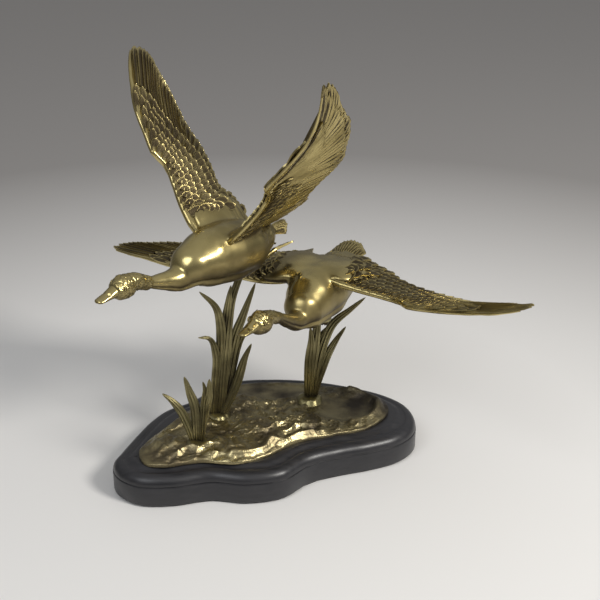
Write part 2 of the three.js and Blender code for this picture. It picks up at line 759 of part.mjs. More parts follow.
function wingBend(pose, side) {
  const frames = [];
  const place = new Vector3(shoulderForward, side * (bodyHalfWidth - shoulderSink), shoulderRise);
  let previous = null;
  for (let i = 0; i <= wingSteps; i += 1) {
    const share = i / wingSteps;
    const [rise, sweep, droop] = [pose.rise, pose.sweep, pose.droop]
      .map((nodes) => THREE.MathUtils.degToRad(alongNodes(nodes, share)));
    const out = new Vector3(
      Math.sin(sweep), side * Math.cos(sweep) * Math.cos(rise), Math.cos(sweep) * Math.sin(rise),
    );
    if (previous) {
      place.addScaledVector(previous.clone().add(out), wingLength / wingSteps / 2);
    }
    previous = out;
    const level = new Vector3(-1, 0, 0).addScaledVector(out, out.x).normalize();
    const levelTop = out.clone().cross(level).multiplyScalar(side);
    const back = level.multiplyScalar(Math.cos(droop)).addScaledVector(levelTop, -Math.sin(droop));
    back.normalize();
    const top = out.clone().cross(back).multiplyScalar(side);
    frames.push({ place: place.clone(), out, back, top });
  }
  return (span) => {
    const step = THREE.MathUtils.clamp((span / wingLength) * wingSteps, 0, wingSteps);
    const low = Math.min(Math.floor(step), wingSteps - 1);
    const mix = step - low;
    const [a, b] = [frames[low], frames[low + 1]];
    return {
      place: a.place.clone().lerp(b.place, mix),
      back: a.back.clone().lerp(b.back, mix).normalize(),
      top: a.top.clone().lerp(b.top, mix).normalize(),
    };
  };
}

// A place on a feather's line in the flat pattern, from its root (0) to its tip (1)
const tipLine = new THREE.SplineCurve(featherTips.map(([span, chord]) => new THREE.Vector2(span, chord)));

function featherOnWing(u, along, { widen, setBack }) {
  const tip = tipLine.getPoint(u);
  const leadSpan = alongNodes(featherRoots, u) * wingLength;
  const inset = alongNodes(leadInsets, leadSpan / wingLength);
  const span = leadSpan + (tip.x * wingLength - leadSpan) * along;
  const shift = setBack * Math.sin(Math.PI * THREE.MathUtils.clamp(span / wingLength, 0, 1));
  return { span, chord: inset + (tip.y * wingChord * widen - inset) * along + shift };
}

// A sheet of overlapping feathers: rows of points over and under, stitched at the rim
function sheetMesh(over, under) {
  const across = over.length;
  const overDepth = over[0].length;
  const underDepth = under[0].length;
  const vertices = [...over.flat(), ...under.flat()];
  const overAt = (i, j) => i * overDepth + j;
  const underAt = (i, j) => across * overDepth + i * underDepth + j;
  const triangles = [];
  const quad = (a, b, c, d) => triangles.push(a, b, c, a, c, d);
  for (let i = 0; i + 1 < across; i += 1) {
    for (let j = 0; j + 1 < overDepth; j += 1) {
      quad(overAt(i, j), overAt(i + 1, j), overAt(i + 1, j + 1), overAt(i, j + 1));
    }
    for (let j = 0; j + 1 < underDepth; j += 1) {
      quad(underAt(i, j + 1), underAt(i + 1, j + 1), underAt(i + 1, j), underAt(i, j));
    }
    quad(underAt(i, 0), underAt(i + 1, 0), overAt(i + 1, 0), overAt(i, 0));
    quad(overAt(i, overDepth - 1), overAt(i + 1, overDepth - 1), underAt(i + 1, underDepth - 1),
      underAt(i, underDepth - 1));
  }
  for (const [end, flip] of [[0, false], [across - 1, true]]) {
    let i = 0;
    let j = 0;
    while (i < overDepth - 1 || j < underDepth - 1) {
      const overNext = (i + 1) / (overDepth - 1);
      const underNext = (j + 1) / (underDepth - 1);
      const stepOver = j === underDepth - 1 || (i < overDepth - 1 && overNext <= underNext);
      const corner = stepOver ? overAt(end, i + 1) : underAt(end, j + 1);
      const face = [overAt(end, i), corner, underAt(end, j)];
      triangles.push(...(flip ? face.reverse() : face));
      if (stepOver) {
        i += 1;
      } else {
        j += 1;
      }
    }
  }
  return closedMesh(vertices, triangles);
}

function wingSheet(bend, pose) {
  const over = [];
  const under = [];
  for (let feather = 0; feather < wingFeathers; feather += 1) {
    for (const { across, raise, reach } of vaneSamples) {
      const u = (feather + across) / wingFeathers;
      const notch = 0.07 + 0.12 * u;
      const scallop = reach < 0 ? -covertScallop : covertScallop;
      const placed = (along, height) => {
        const inner = along > 0.1 && along < 0.9 ? scallop : 0;
        const spot = featherOnWing(u, along === 1 ? 1 + reach * notch : along + inner, pose);
        const frame = bend(spot.span);
        const bow = 2.4 * along * (1 - along * 0.75) * wingCamber * (1 - u * 0.7);
        return frame.place.clone()
          .addScaledVector(frame.back, spot.chord)
          .addScaledVector(frame.top, height + bow);
      };
      const thick = (along) => featherThickness / 2
        + (wingRootThickness - featherThickness) / 2 * (1 - u) * (1 - along) ** 1.5;
      const lap = (along) => featherRelief * raise * Math.min(1, along * 3);
      over.push(wingOverRows.map((row) => placed(
        row.along,
        (thick(row.along) + covertStep * (1.1 + 0.5 * row.raise)) * row.full + lap(row.along),
      )));
      under.push(wingUnderRows.map((row) => placed(
        row.along,
        (row.raise - thick(row.along)) * row.full + 0.7 * lap(row.along),
      )));
    }
  }
  return toSolid(sheetMesh(over, under));
}

// The wing root's own frame: X out along the wing, Y back along the chord, Z through it
function wingRootFrame(bend, side) {
  const { place, back, top } = bend(0);
  const out = back.clone().cross(top).normalize();
  return { matrix: frameAt(place, out, back, top), outward: Math.sign(out.y) === side ? 1 : -1 };
}

function wingTenon(root, grow) {
  const inner = tenonLength * 0.6 + grow;
  const outer = tenonLength * 0.4 + grow;
  const box = new THREE.BoxGeometry(inner + outer, tenonWidth + 2 * grow, tenonThickness + 2 * grow);
  box.translate(root.outward * (outer - inner) / 2, tenonFromLead + tenonWidth / 2, wingCamber / 2);
  box.applyMatrix4(root.matrix);
  return toSolid(box);
}

function wingFairing(root, { at, reach }) {
  const ball = new THREE.SphereGeometry(1, 12, 7);
  ball.scale(...reach);
  ball.translate(root.outward * at[0], at[1], at[2]);
  ball.applyMatrix4(root.matrix);
  return toSolid(ball);
}

// Tail fan, arched from side to side and let into the rump

function tailPlace({ length, spread, arch, rootWidth }, across, along, height) {
  const angle = THREE.MathUtils.degToRad(spread) * across;
  const lift = THREE.MathUtils.degToRad(tailLift);
  const reach = length * along;
  const back = reach * Math.cos(angle);
  const side = rootWidth / 2 * across + reach * Math.sin(angle);
  const drop = arch * along * across * across;
  const rise = back * Math.tan(lift) - drop + height + tailCrown * along * (1 - along);
  return new Vector3(tailSeat - bodyBack - back, side, tailRootRise + rise);
}

function tailSheet(tail) {
  const rows = [0, 0.5, 1];
  const over = [];
  const under = [];
  for (let feather = 0; feather < tailFeathers; feather += 1) {
    for (const { across, raise, reach } of vaneSamples) {
      const place = ((feather + across) / tailFeathers) * 2 - 1;
      const lap = featherRelief * (place < 0 ? raise : 1 - raise) * 0.9;
      const reached = (along) => (along === 1 ? 1 + reach * tailNotch : along);
      const put = (along, height) => tailPlace(tail, place, reached(along), height);
      over.push(rows.map((along) => put(along, tailThickness / 2 + lap * along)));
      under.push(rows.map((along) => put(along, -tailThickness / 2 + lap * along * 0.6)));
    }
  }
  return toSolid(sheetMesh(over, under));
}

function tailTongue(tail, grow) {
  const box = new THREE.BoxGeometry(
    tongueLength + 2 * grow, tail.rootWidth * 0.8 + 2 * grow, tongueThickness + 2 * grow,
  );
  box.translate(tongueLength * 0.2 - bodyBack, 0, tailRootRise + tongueRise);
  return toSolid(box);
}

// Legs and webbed feet

function legLine(side) {
  const start = new Vector3(-bodyBack * 0.5, side * bodyHalfWidth * legSpacingShare / 2, -bodyBottom * 0.62);
  const end = new Vector3(start.x - legLength, start.y * 1.1, start.z + legRise);
  return { start, end, way: end.clone().sub(start).normalize() };
}

function legRod(side, radius, backOff) {
  const { start, end, way } = legLine(side);
  const from = start.clone().addScaledVector(way, -legSocketDepth - backOff);
  const length = end.distanceTo(from);
  const rod = new THREE.CylinderGeometry(radius * 0.8, radius, length, 6);
  rod.translate(0, length / 2, 0);
  rod.applyQuaternion(new THREE.Quaternion().setFromUnitVectors(new Vector3(0, 1, 0), way));
  rod.translate(from.x, from.y, from.z);
  return toSolid(rod);
}

function webbedFoot(side) {
  const shape = new THREE.Shape();
  const half = webWidth / 2;
  shape.moveTo(1, -1.2);
  shape.lineTo(-webLength * 0.86, -half);
  shape.quadraticCurveTo(-webLength * 0.72, -half * 0.5, -webLength, 0);
  shape.quadraticCurveTo(-webLength * 0.72, half * 0.5, -webLength * 0.86, half);
  shape.lineTo(1, 1.2);
  shape.closePath();
  const flat = { depth: webThickness, bevelEnabled: false, curveSegments: 2 };
  const web = new THREE.ExtrudeGeometry(shape, flat);
  web.translate(0, 0, -webThickness / 2);
  const toes = [-toeSplay, 0, toeSplay].map((angle) => {
    const toe = new THREE.CylinderGeometry(toeRadius / 2, toeRadius, webLength * 0.94, 4);
    toe.rotateZ(Math.PI / 2);
    toe.translate(-webLength * 0.46, 0, 0);
    toe.rotateZ(angle);
    return toSolid(toe);
  });
  const foot = toGeometry(joined(toSolid(web), ...toes));
  const { end } = legLine(side);
  foot.rotateX(side * webRoll);
  foot.rotateY(webPitch);
  foot.translate(end.x + toeRadius, end.y, end.z);
  return toSolid(foot);
}

// Belly screw, up through the reeds' saddle into the body

function saddleTop(bird) {
  return bellyLevel(bird) - bellyBossHeight - fitGap;
}

function bellyScrew(bird) {
  const headTop = saddleTop(bird) - saddleThickness - fitGap;
  const at = [bird.saddleForward, 0];
  const headRadius = bellyScrewHead / 2;
  const headBottom = headTop - bellyScrewHeadHeight;
  const head = toSolid(upright(headRadius * 0.75, headRadius, headBottom, headTop, boreSides, at));
  const shankRadius = bellyScrewShank / 2;
  const shankTop = bellyLevel(bird) + bellyScrewBite;
  const shank = toSolid(upright(shankRadius, shankRadius, headTop - 0.5, shankTop, boreSides, at));
  return toGeometry(joined(head, shank));
}

function birdGroup(bird) {
  const group = new THREE.Group();
  group.position.set(...bird.place);
  const [bank, noseDown, turn] = [bird.bank, bird.noseDown, bird.turn].map(THREE.MathUtils.degToRad);
  group.rotation.set(bank, noseDown, turn, 'ZYX');
  const bodyGrown = birdLoft(bird, fitGap);
  const cutters = [tailTongue(bird.tail, fitGap), bellyBore(bird, bellyScrewShank / 2 + fitGap)];
  for (const [label, side, pose] of [['left', 1, bird.leftWing], ['right', -1, bird.rightWing]]) {
    const bend = wingBend(pose, side);
    const root = wingRootFrame(bend, side);
    const feathered = joined(wingSheet(bend, pose), wingFairing(root, pose.fairing));
    const wing = joined(cutBy(feathered, bodyGrown), wingTenon(root, 0));
    group.add(piece(`${bird.name}_${label}_wing`, toGeometry(wing), 'featherBrass'));
    cutters.push(wingTenon(root, fitGap));
    const foot = joined(cutBy(webbedFoot(side), bodyGrown), legRod(side, legRadius, 0));
    group.add(piece(`${bird.name}_${label}_foot`, toGeometry(foot), 'polishedBrass'));
    cutters.push(legRod(side, legRadius + fitGap, fitGap));
  }
  const tail = joined(cutBy(tailSheet(bird.tail), bodyGrown), tailTongue(bird.tail, 0));
  group.add(piece(`${bird.name}_tail`, toGeometry(tail), 'featherBrass'));
  const body = cutBy(joined(birdLoft(bird, 0), bellyBoss(bird), ...eyes(bird)), ...cutters);
  group.add(piece(`${bird.name}_body`, toGeometry(body), 'polishedBrass'));
  group.add(piece(`${bird.name}_belly_screw`, bellyScrew(bird), 'polishedBrass'));
  group.updateMatrixWorld(true);
  return group;
}

// Reeds

function bladeSolid({ width, path }, origin, lean, blunt = false) {
  const points = path.map(([x, y, z]) => {
    const off = Math.min(1, z / leanHeight);
    return new Vector3(x + lean[0] * off, y + lean[1] * off, z).add(origin);
  });
  const curve = new THREE.CatmullRomCurve3(points, false, 'centripetal');
  const rings = Array.from({ length: bladeSteps + 1 }, (_, i) => {
    const share = i / bladeSteps;
    const swell = 0.62 + 0.38 * Math.sin(Math.PI * Math.min(1, share * 1.1));
    const narrowed = 1 - Math.max(0, share - bladeTaperFrom) ** 1.5 * 2.6;
    const taper = blunt ? 1 : Math.max(bladeTipShare, narrowed);
    const ridge = 0.7 + 0.9 * taper * (1 - share * 0.4);
    return {
      centre: curve.getPointAt(share),
      ahead: curve.getTangentAt(share),
      half: new Vector3((width / 2) * swell * taper, ridge, 0.5 + 0.6 * taper),
    };
  });
  return toSolid(lofted(rings, bladeSides, new Vector3(0, -1, 0.05)));
}

function reedFoot(at) {
  const radius = footDiameter / 2;
  const seat = upright(radius, radius, footBottom, footBottom + footCollar, discSides, at);
  const mound = upright(radius, radius - footTaper, footBottom + footCollar, footTop, discSides, at);
  return joined(toSolid(seat), toSolid(mound));
}

// A saddle under the bird, and the blade that climbs to it
function reedSaddle(clump, origin, group, bird) {
  const top = saddleTop(bird);
  const radius = saddleDiameter / 2;
  const disc = upright(radius, radius, top - saddleThickness, top, discSides, [bird.saddleForward, 0]);
  disc.applyMatrix4(group.matrixWorld);
  const middle = new Vector3(bird.saddleForward, 0, top - saddleThickness / 2);
  middle.applyMatrix4(group.matrixWorld);
  const { width, path } = clump.carrier;
  const side = new Vector3(...path[path.length - 1]).add(origin).sub(middle).setZ(0);
  const rim = middle.clone().add(side.normalize().multiplyScalar(radius * 0.8));
  const end = rim.sub(origin).sub(new Vector3(...clump.lean, 0));
  const stem = bladeSolid({ width, path: [...path, end.toArray()] }, origin, clump.lean, true);
  return joined(stem, toSolid(disc));
}

function reedClump(clump, group = null, bird = null) {
  const origin = new Vector3(clump.at[0], clump.at[1], footBottom);
  const blades = clump.blades.map((blade) => bladeSolid(blade, origin, clump.lean));
  let solid = joined(reedFoot(clump.at), ...blades);
  if (bird) {
    solid = joined(solid, reedSaddle(clump, origin, group, bird));
    const place = group.matrixWorld.toArray();
    const bore = bellyBore(bird, bellyScrewShank / 2 + fitGap).transform(place);
    const headTop = saddleTop(bird) - saddleThickness;
    const roomRadius = bellyScrewHead / 2 + fitGap;
    const roomBottom = headTop - bellyScrewHeadHeight - bellyScrewLength;
    const headRoom = upright(roomRadius, roomRadius, roomBottom, headTop, boreSides, [bird.saddleForward, 0]);
    headRoom.applyMatrix4(group.matrixWorld);
    const body = joined(birdLoft(bird, fitGap), bellyBoss(bird)).transform(place);
    solid = cutBy(solid, bore, toSolid(headRoom), body);
  }
  const screwHole = clampBore(clump.at, footBottom - 1, footBottom + clampScrewBite + fitGap);
  return toGeometry(cutBy(solid, screwHole));
}

// Assembly

const figurine = new THREE.Group();
figurine.add(piece('felt_pad', feltPad(), 'blackFelt'));
figurine.add(piece('plinth', plinth(), 'blackLacquer'));
figurine.add(piece('ground_plate', groundPlate(), 'groundBrass'));

const upperGroup = birdGroup(upperBird);
const lowerGroup = birdGroup(lowerBird);
figurine.add(upperGroup, lowerGroup);
figurine.add(piece(tallReeds.name, reedClump(tallReeds, upperGroup, upperBird), 'reedBrass'));
figurine.add(piece(frontReeds.name, reedClump(frontReeds), 'reedBrass'));
figurine.add(piece(rightReeds.name, reedClump(rightReeds, lowerGroup, lowerBird), 'reedBrass'));

for (const { name, at } of reedClumps) {
  figurine.add(piece(`${name}_screw`, clampScrew(at), 'screwSteel'));
  figurine.add(piece(`${name}_washer`, clampWasher(at), 'screwSteel'));
}

export default figurine;
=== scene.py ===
import math

import bpy
import numpy as np
from mathutils import Euler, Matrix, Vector
from mathutils.bvhtree import BVHTree


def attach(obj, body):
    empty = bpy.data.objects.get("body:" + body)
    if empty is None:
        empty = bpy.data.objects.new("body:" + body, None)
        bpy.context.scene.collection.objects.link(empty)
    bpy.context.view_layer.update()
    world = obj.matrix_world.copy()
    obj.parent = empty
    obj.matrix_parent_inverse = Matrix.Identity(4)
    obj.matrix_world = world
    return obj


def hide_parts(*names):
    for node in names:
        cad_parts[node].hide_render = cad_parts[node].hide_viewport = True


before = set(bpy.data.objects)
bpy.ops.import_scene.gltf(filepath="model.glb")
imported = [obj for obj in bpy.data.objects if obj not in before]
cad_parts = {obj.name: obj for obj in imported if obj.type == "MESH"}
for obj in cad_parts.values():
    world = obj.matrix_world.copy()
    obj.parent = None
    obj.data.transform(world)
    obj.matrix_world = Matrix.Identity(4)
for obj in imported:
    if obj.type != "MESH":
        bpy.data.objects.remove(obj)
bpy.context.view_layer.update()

# Two brass geese over reeds on a lacquered plinth. Sizes are in millimetres, +Z up.
mm = 0.001
# Sides of round parts that are seen close, and of those that hardly show
closeSides, hiddenSides = 72, 40


# Small helpers

def unit(vectors):
    vectors = np.asarray(vectors, float)
    return vectors / np.maximum(np.linalg.norm(vectors, axis=-1, keepdims=True), 1e-12)


def easeStep(value, low, high):
    # Rises smoothly from 0 at low to 1 at high
    share = np.clip((np.asarray(value, float) - low) / (high - low), 0, 1)
    return share * share * (3 - 2 * share)


def hump(distance, width):
    # 1 at no distance, falling smoothly to 0 beyond the width
    return np.exp(-(np.asarray(distance, float) / width) ** 2)


def curveThrough(points, shares, closed=False):
    # A centripetal spline through the points, read at shares of its points
    points = np.asarray(points, float)
    count = len(points)
    spans = count if closed else count - 1
    place = np.clip(np.asarray(shares, float), 0, 1) * spans
    index = np.minimum(place.astype(int), spans - 1)
    local = (place - index)[:, None]
    if closed:
        before, start, end, after = (points[(index + k) % count] for k in (-1, 0, 1, 2))
    else:
        long = np.vstack([2 * points[0] - points[1], points, 2 * points[-1] - points[-2]])
        before, start, end, after = (long[index + k] for k in (0, 1, 2, 3))
    gaps = [np.sqrt(np.linalg.norm(b - a, axis=1))[:, None] + 1e-9
            for a, b in ((before, start), (start, end), (end, after))]
    leave = (start - before) / gaps[0] - (end - before) / (gaps[0] + gaps[1]) + (end - start) / gaps[1]
    arrive = (end - start) / gaps[1] - (after - start) / (gaps[1] + gaps[2]) + (after - end) / gaps[2]
    leave, arrive = leave * gaps[1], arrive * gaps[1]
    return (start + leave * local + (3 * (end - start) - 2 * leave - arrive) * local ** 2
            + (2 * (start - end) + leave + arrive) * local ** 3)


def fullTurn(sides):
    # Evenly spaced angles all the way round
    return np.linspace(0, 2 * math.pi, sides, endpoint=False)


def pathFrame(path):
    # Ways across and up at each point of a path
    ahead = unit(np.gradient(path, axis=0))
    across = unit(np.cross([0, 0, 1], ahead))
    return across, np.cross(ahead, across)


def alongLine(line, spots):
    # Points at given distances along a line of points
    line = np.asarray(line, float)
    steps = np.concatenate([[0], np.cumsum(np.linalg.norm(np.diff(line, axis=0), axis=1))])
    return np.stack([np.interp(spots, steps, line[:, k]) for k in range(line.shape[1])], 1)


def lineLength(line):
    return float(np.sum(np.linalg.norm(np.diff(np.asarray(line, float), axis=0), axis=1)))


def evenCurve(points, count, closed=False):
    dense = curveThrough(points, np.linspace(0, 1, 60 * len(points)), closed)
    total = lineLength(dense)
    return alongLine(dense, np.linspace(0, total, count + 1)[:-1] if closed else np.linspace(0, total, count))


def alongNodes(nodes, share):
    # Evenly spaced values read at a share of their run
    return np.interp(np.clip(share, 0, 1) * (len(nodes) - 1), np.arange(len(nodes)), nodes)


def readLine(points, across):
    # Height of a line of points over one axis
    points = np.asarray(points, float)
    return np.interp(across, points[:, 0], points[:, 1])


noiseTable = {"size": 4096, "primes": (73856093, 19349663, 83492791), "seedShift": 17.3,
              "finer": 2.07, "fineShift": 5.1, "fainter": 0.52}


def softNoise(points, size, seed, octaves=3):
    # Smooth random heights between about -1 and 1
    n = noiseTable
    points = np.asarray(points, float) / size + seed * n["seedShift"]
    total, strength = np.zeros(len(points)), 1.0
    for octave in range(octaves):
        chance = np.random.default_rng(seed * 31 + octave).uniform(-1, 1, n["size"])
        cell = np.floor(points).astype(np.int64)
        local = points - cell
        local = local * local * (3 - 2 * local)
        for corner in np.ndindex(2, 2, 2):
            # Large primes scatter the cells over the table of chances
            spot = cell + corner
            pick = np.bitwise_xor.reduce(spot * n["primes"], axis=1) % n["size"]
            share = np.prod(np.where(corner, local, 1 - local), axis=1)
            total += strength * chance[pick] * share
        points, strength = points * n["finer"] + n["fineShift"], strength * n["fainter"]
    return total


def placed(name, data):
    obj = bpy.data.objects.new(name, data)
    bpy.context.scene.collection.objects.link(obj)
    return obj


def meshObject(name, points, faces, uv=None):
    mesh = bpy.data.meshes.new(name)
    mesh.from_pydata(np.asarray(points, float).tolist(), [], [[int(i) for i in f] for f in faces])
    if uv is not None:
        layer = mesh.uv_layers.new(name="feather")
        corners = np.zeros(len(mesh.loops), int)
        mesh.loops.foreach_get("vertex_index", corners)
        layer.data.foreach_set("uv", np.asarray(uv, np.float32)[corners].ravel())
    mesh.polygons.foreach_set("use_smooth", [True] * len(mesh.polygons))
    return placed(name, mesh)


def meshPoints(obj):
    points = np.zeros(len(obj.data.vertices) * 3)
    obj.data.vertices.foreach_get("co", points)
    return points.reshape(-1, 3)


def setPoints(obj, points):
    obj.data.vertices.foreach_set("co", np.asarray(points, float).ravel())
    obj.data.update()


def madeReal(source, name):
    # A plain smooth mesh in place of an object and its modifiers
    graph = bpy.context.evaluated_depsgraph_get()
    mesh = bpy.data.meshes.new_from_object(source.evaluated_get(graph), depsgraph=graph)
    mesh.name = name
    mesh.polygons.foreach_set("use_smooth", [True] * len(mesh.polygons))
    bpy.data.objects.remove(source)
    return placed(name, mesh)


def gridFaces(rows, columns, wrap=True):
    faces = []
    for i in range(rows - 1):
        for j in range(columns if wrap else columns - 1):
            a, b = i * columns + j, i * columns + (j + 1) % columns
            faces.append((a, b, b + columns, a + columns))
    return faces


def loft(rings):
    # Closed skin over rings of points, with a point at the middle of each end
    rings = np.asarray(rings, float)
    rows, columns = rings.shape[:2]
    points = np.vstack([rings.reshape(-1, 3), rings[0].mean(0)[None], rings[-1].mean(0)[None]])
    faces = gridFaces(rows, columns)
    first, last = rows * columns, rows * columns + 1
    for j in range(columns):
        k = (j + 1) % columns
        faces.append((first, k, j))
        faces.append((last, (rows - 1) * columns + j, (rows - 1) * columns + k))
    return points, faces


def twoSided(over, under, wholeUnder=False):
    # A closed plate from a grid of points over and one under; the under side can be a single face
    rows, columns = over.shape[:2]
    count = rows * columns
    border = [i * columns for i in range(rows)] + [(rows - 1) * columns + j for j in range(1, columns)]
    border += [i * columns + columns - 1 for i in range(rows - 2, -1, -1)] + list(range(columns - 2, 0, -1))
    faces = gridFaces(rows, columns, wrap=False)
    if wholeUnder:
        below = under.reshape(-1, 3)[border]
        faces += [(b, a, count + i, count + (i + 1) % len(border))
                  for i, (a, b) in enumerate(zip(border, border[1:] + border[:1]))]
        faces.append(tuple(range(count, count + len(border))))
        return np.vstack([over.reshape(-1, 3), below]), faces, border
    faces += [tuple(i + count for i in f[::-1]) for f in faces]
    faces += [(b, a, a + count, b + count) for a, b in zip(border, border[1:] + border[:1])]
    return np.vstack([over.reshape(-1, 3), under.reshape(-1, 3)]), faces, border


def outward(points, faces):
    # Faces turned so that the closed skin's volume is positive
    points = np.asarray(points, float)
    fans = np.array([(f[0], b, c) for f in faces for b, c in zip(f[1:-1], f[2:])])
    total = np.sum(points[fans[:, 0]] * np.cross(points[fans[:, 1]], points[fans[:, 2]]))
    return faces if total > 0 else [f[::-1] for f in faces]


def stacked(parts):
    # Several closed skins as one list of points and faces
    points, faces, start = [], [], 0
    for partPoints, partFaces in parts:
        points.append(np.asarray(partPoints, float))
        faces += [tuple(i + start for i in f) for f in outward(partPoints, partFaces)]
        start += len(partPoints)
    return np.vstack(points), faces


def tubeRings(path, radii, sides):
    across, up = pathFrame(path)
    turn = fullTurn(sides)
    radii = radii[:, None, None]
    return (path[:, None] + across[:, None] * np.cos(turn)[None, :, None] * radii
            + up[:, None] * np.sin(turn)[None, :, None] * radii)


def turned(profile, at, sides):
    # A turned piece: radius and height pairs around an upright axis
    turn = fullTurn(sides)
    return np.array([np.stack([at[0] + r * np.cos(turn), at[1] + r * np.sin(turn), np.full(sides, z)], -1)
                     for r, z in profile], float)


def ball(centre, axes, rows=16, columns=24):
    # An ellipsoid on three axes whose lengths are its radii
    tilt = np.linspace(0.06, math.pi - 0.06, rows)
    turn = fullTurn(columns)
    shape = np.stack([np.sin(tilt)[:, None] * np.cos(turn), np.sin(tilt)[:, None] * np.sin(turn),
                      np.repeat(np.cos(tilt)[:, None], columns, 1)], -1)
    return loft(np.asarray(centre) + shape @ np.asarray(axes, float))


def joinedObject(name, objects):
    bpy.ops.object.select_all(action="DESELECT")
    for obj in objects:
        obj.select_set(True)
    bpy.context.view_layer.objects.active = objects[0]
    bpy.ops.object.join()
    objects[0].name = name
    objects[0].data.name = name
    return objects[0]


def painted(obj, material):
    obj.data.materials.clear()
    obj.data.materials.append(material)
    return obj


def finished(obj, node, sharp):
    # The piece stands for a node of the frame; edges sharper than the angle stay crisp
    obj.data.set_sharp_from_angle(angle=math.radians(sharp))
    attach(obj, "root")
    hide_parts(node)


# Materials

def shader(name):
    material = bpy.data.materials.new(name)
    material.use_nodes = True
    tree = material.node_tree
    return material, tree, tree.nodes["Principled BSDF"]


def fill(tree, socket, value):
    # Joins the socket to another one, or gives it a number or a colour
    if isinstance(value, bpy.types.NodeSocket):
        tree.links.new(value, socket)
    else:
        socket.default_value = (*value, 1) if socket.type == "RGBA" else value


def mixNode(tree, factor, first, second):
    mix = tree.nodes.new("ShaderNodeMix")
    mix.data_type = "RGBA"
    for socket, value in ((0, factor), (6, first), (7, second)):
        fill(tree, mix.inputs[socket], value)
    return mix.outputs[2]


def rangeNode(tree, value, fromLow, fromHigh, toLow, toHigh):
    node = tree.nodes.new("ShaderNodeMapRange")
    keys = ("Value", "From Min", "From Max", "To Min", "To Max")
    for key, number in zip(keys, (value, fromLow, fromHigh, toLow, toHigh)):
        fill(tree, node.inputs[key], number)
    return node.outputs["Result"]


def mathNode(tree, kind, *values):
    node = tree.nodes.new("ShaderNodeMath")
    node.operation = kind
    for i, value in enumerate(values):
        fill(tree, node.inputs[i], value)
    return node.outputs[0]


def partsOf(tree, vector):
    node = tree.nodes.new("ShaderNodeSeparateXYZ")
    tree.links.new(vector, node.inputs[0])
    return node.outputs


def combined(tree, *values):
    node = tree.nodes.new("ShaderNodeCombineXYZ")
    for i, value in enumerate(values):
        fill(tree, node.inputs[i], value)
    return node.outputs[0]


def lengthOf(tree, vector):
    node = tree.nodes.new("ShaderNodeVectorMath")
    node.operation = "LENGTH"
    tree.links.new(vector, node.inputs[0])
    return node.outputs["Value"]


def objectCoords(tree):
    return tree.nodes.new("ShaderNodeTexCoord").outputs["Object"]


def noiseNode(tree, coords, scale, detail, stretch=None):
    node = tree.nodes.new("ShaderNodeTexNoise")
    node.inputs["Scale"].default_value = scale
    node.inputs["Detail"].default_value = detail
    if stretch:
        mapping = tree.nodes.new("ShaderNodeMapping")
        mapping.inputs["Scale"].default_value = stretch
        tree.links.new(coords, mapping.inputs["Vector"])
        coords = mapping.outputs["Vector"]
    tree.links.new(coords, node.inputs["Vector"])
    return node.outputs["Fac"]


def bumpNode(tree, surface, height, look):
    bump = tree.nodes.new("ShaderNodeBump")
    bump.inputs["Strength"].default_value = look["bump"]
    bump.inputs["Distance"].default_value = look["bumpDepth"] * mm
    tree.links.new(height, bump.inputs["Height"])
    tree.links.new(bump.outputs["Normal"], surface.inputs["Normal"])


# What all brass finishes share: the spans that their masks are read over, in noise, UV or facing, where
# facing paints shade on faces turned down
brassSpans = {
    "cloudSpan": (0.3, 0.7), "tarnishSpan": (0.42, 0.75), "roughSpread": (0.85, 1.2),
    "mottleSpan": (0.35, 0.7), "mottle": (0.55, 1.25),
    "polishedRim": (0.38, 0.46), "polishedTip": (0.86, 0.95), "shadeFacing": (0.45, -0.35),
}


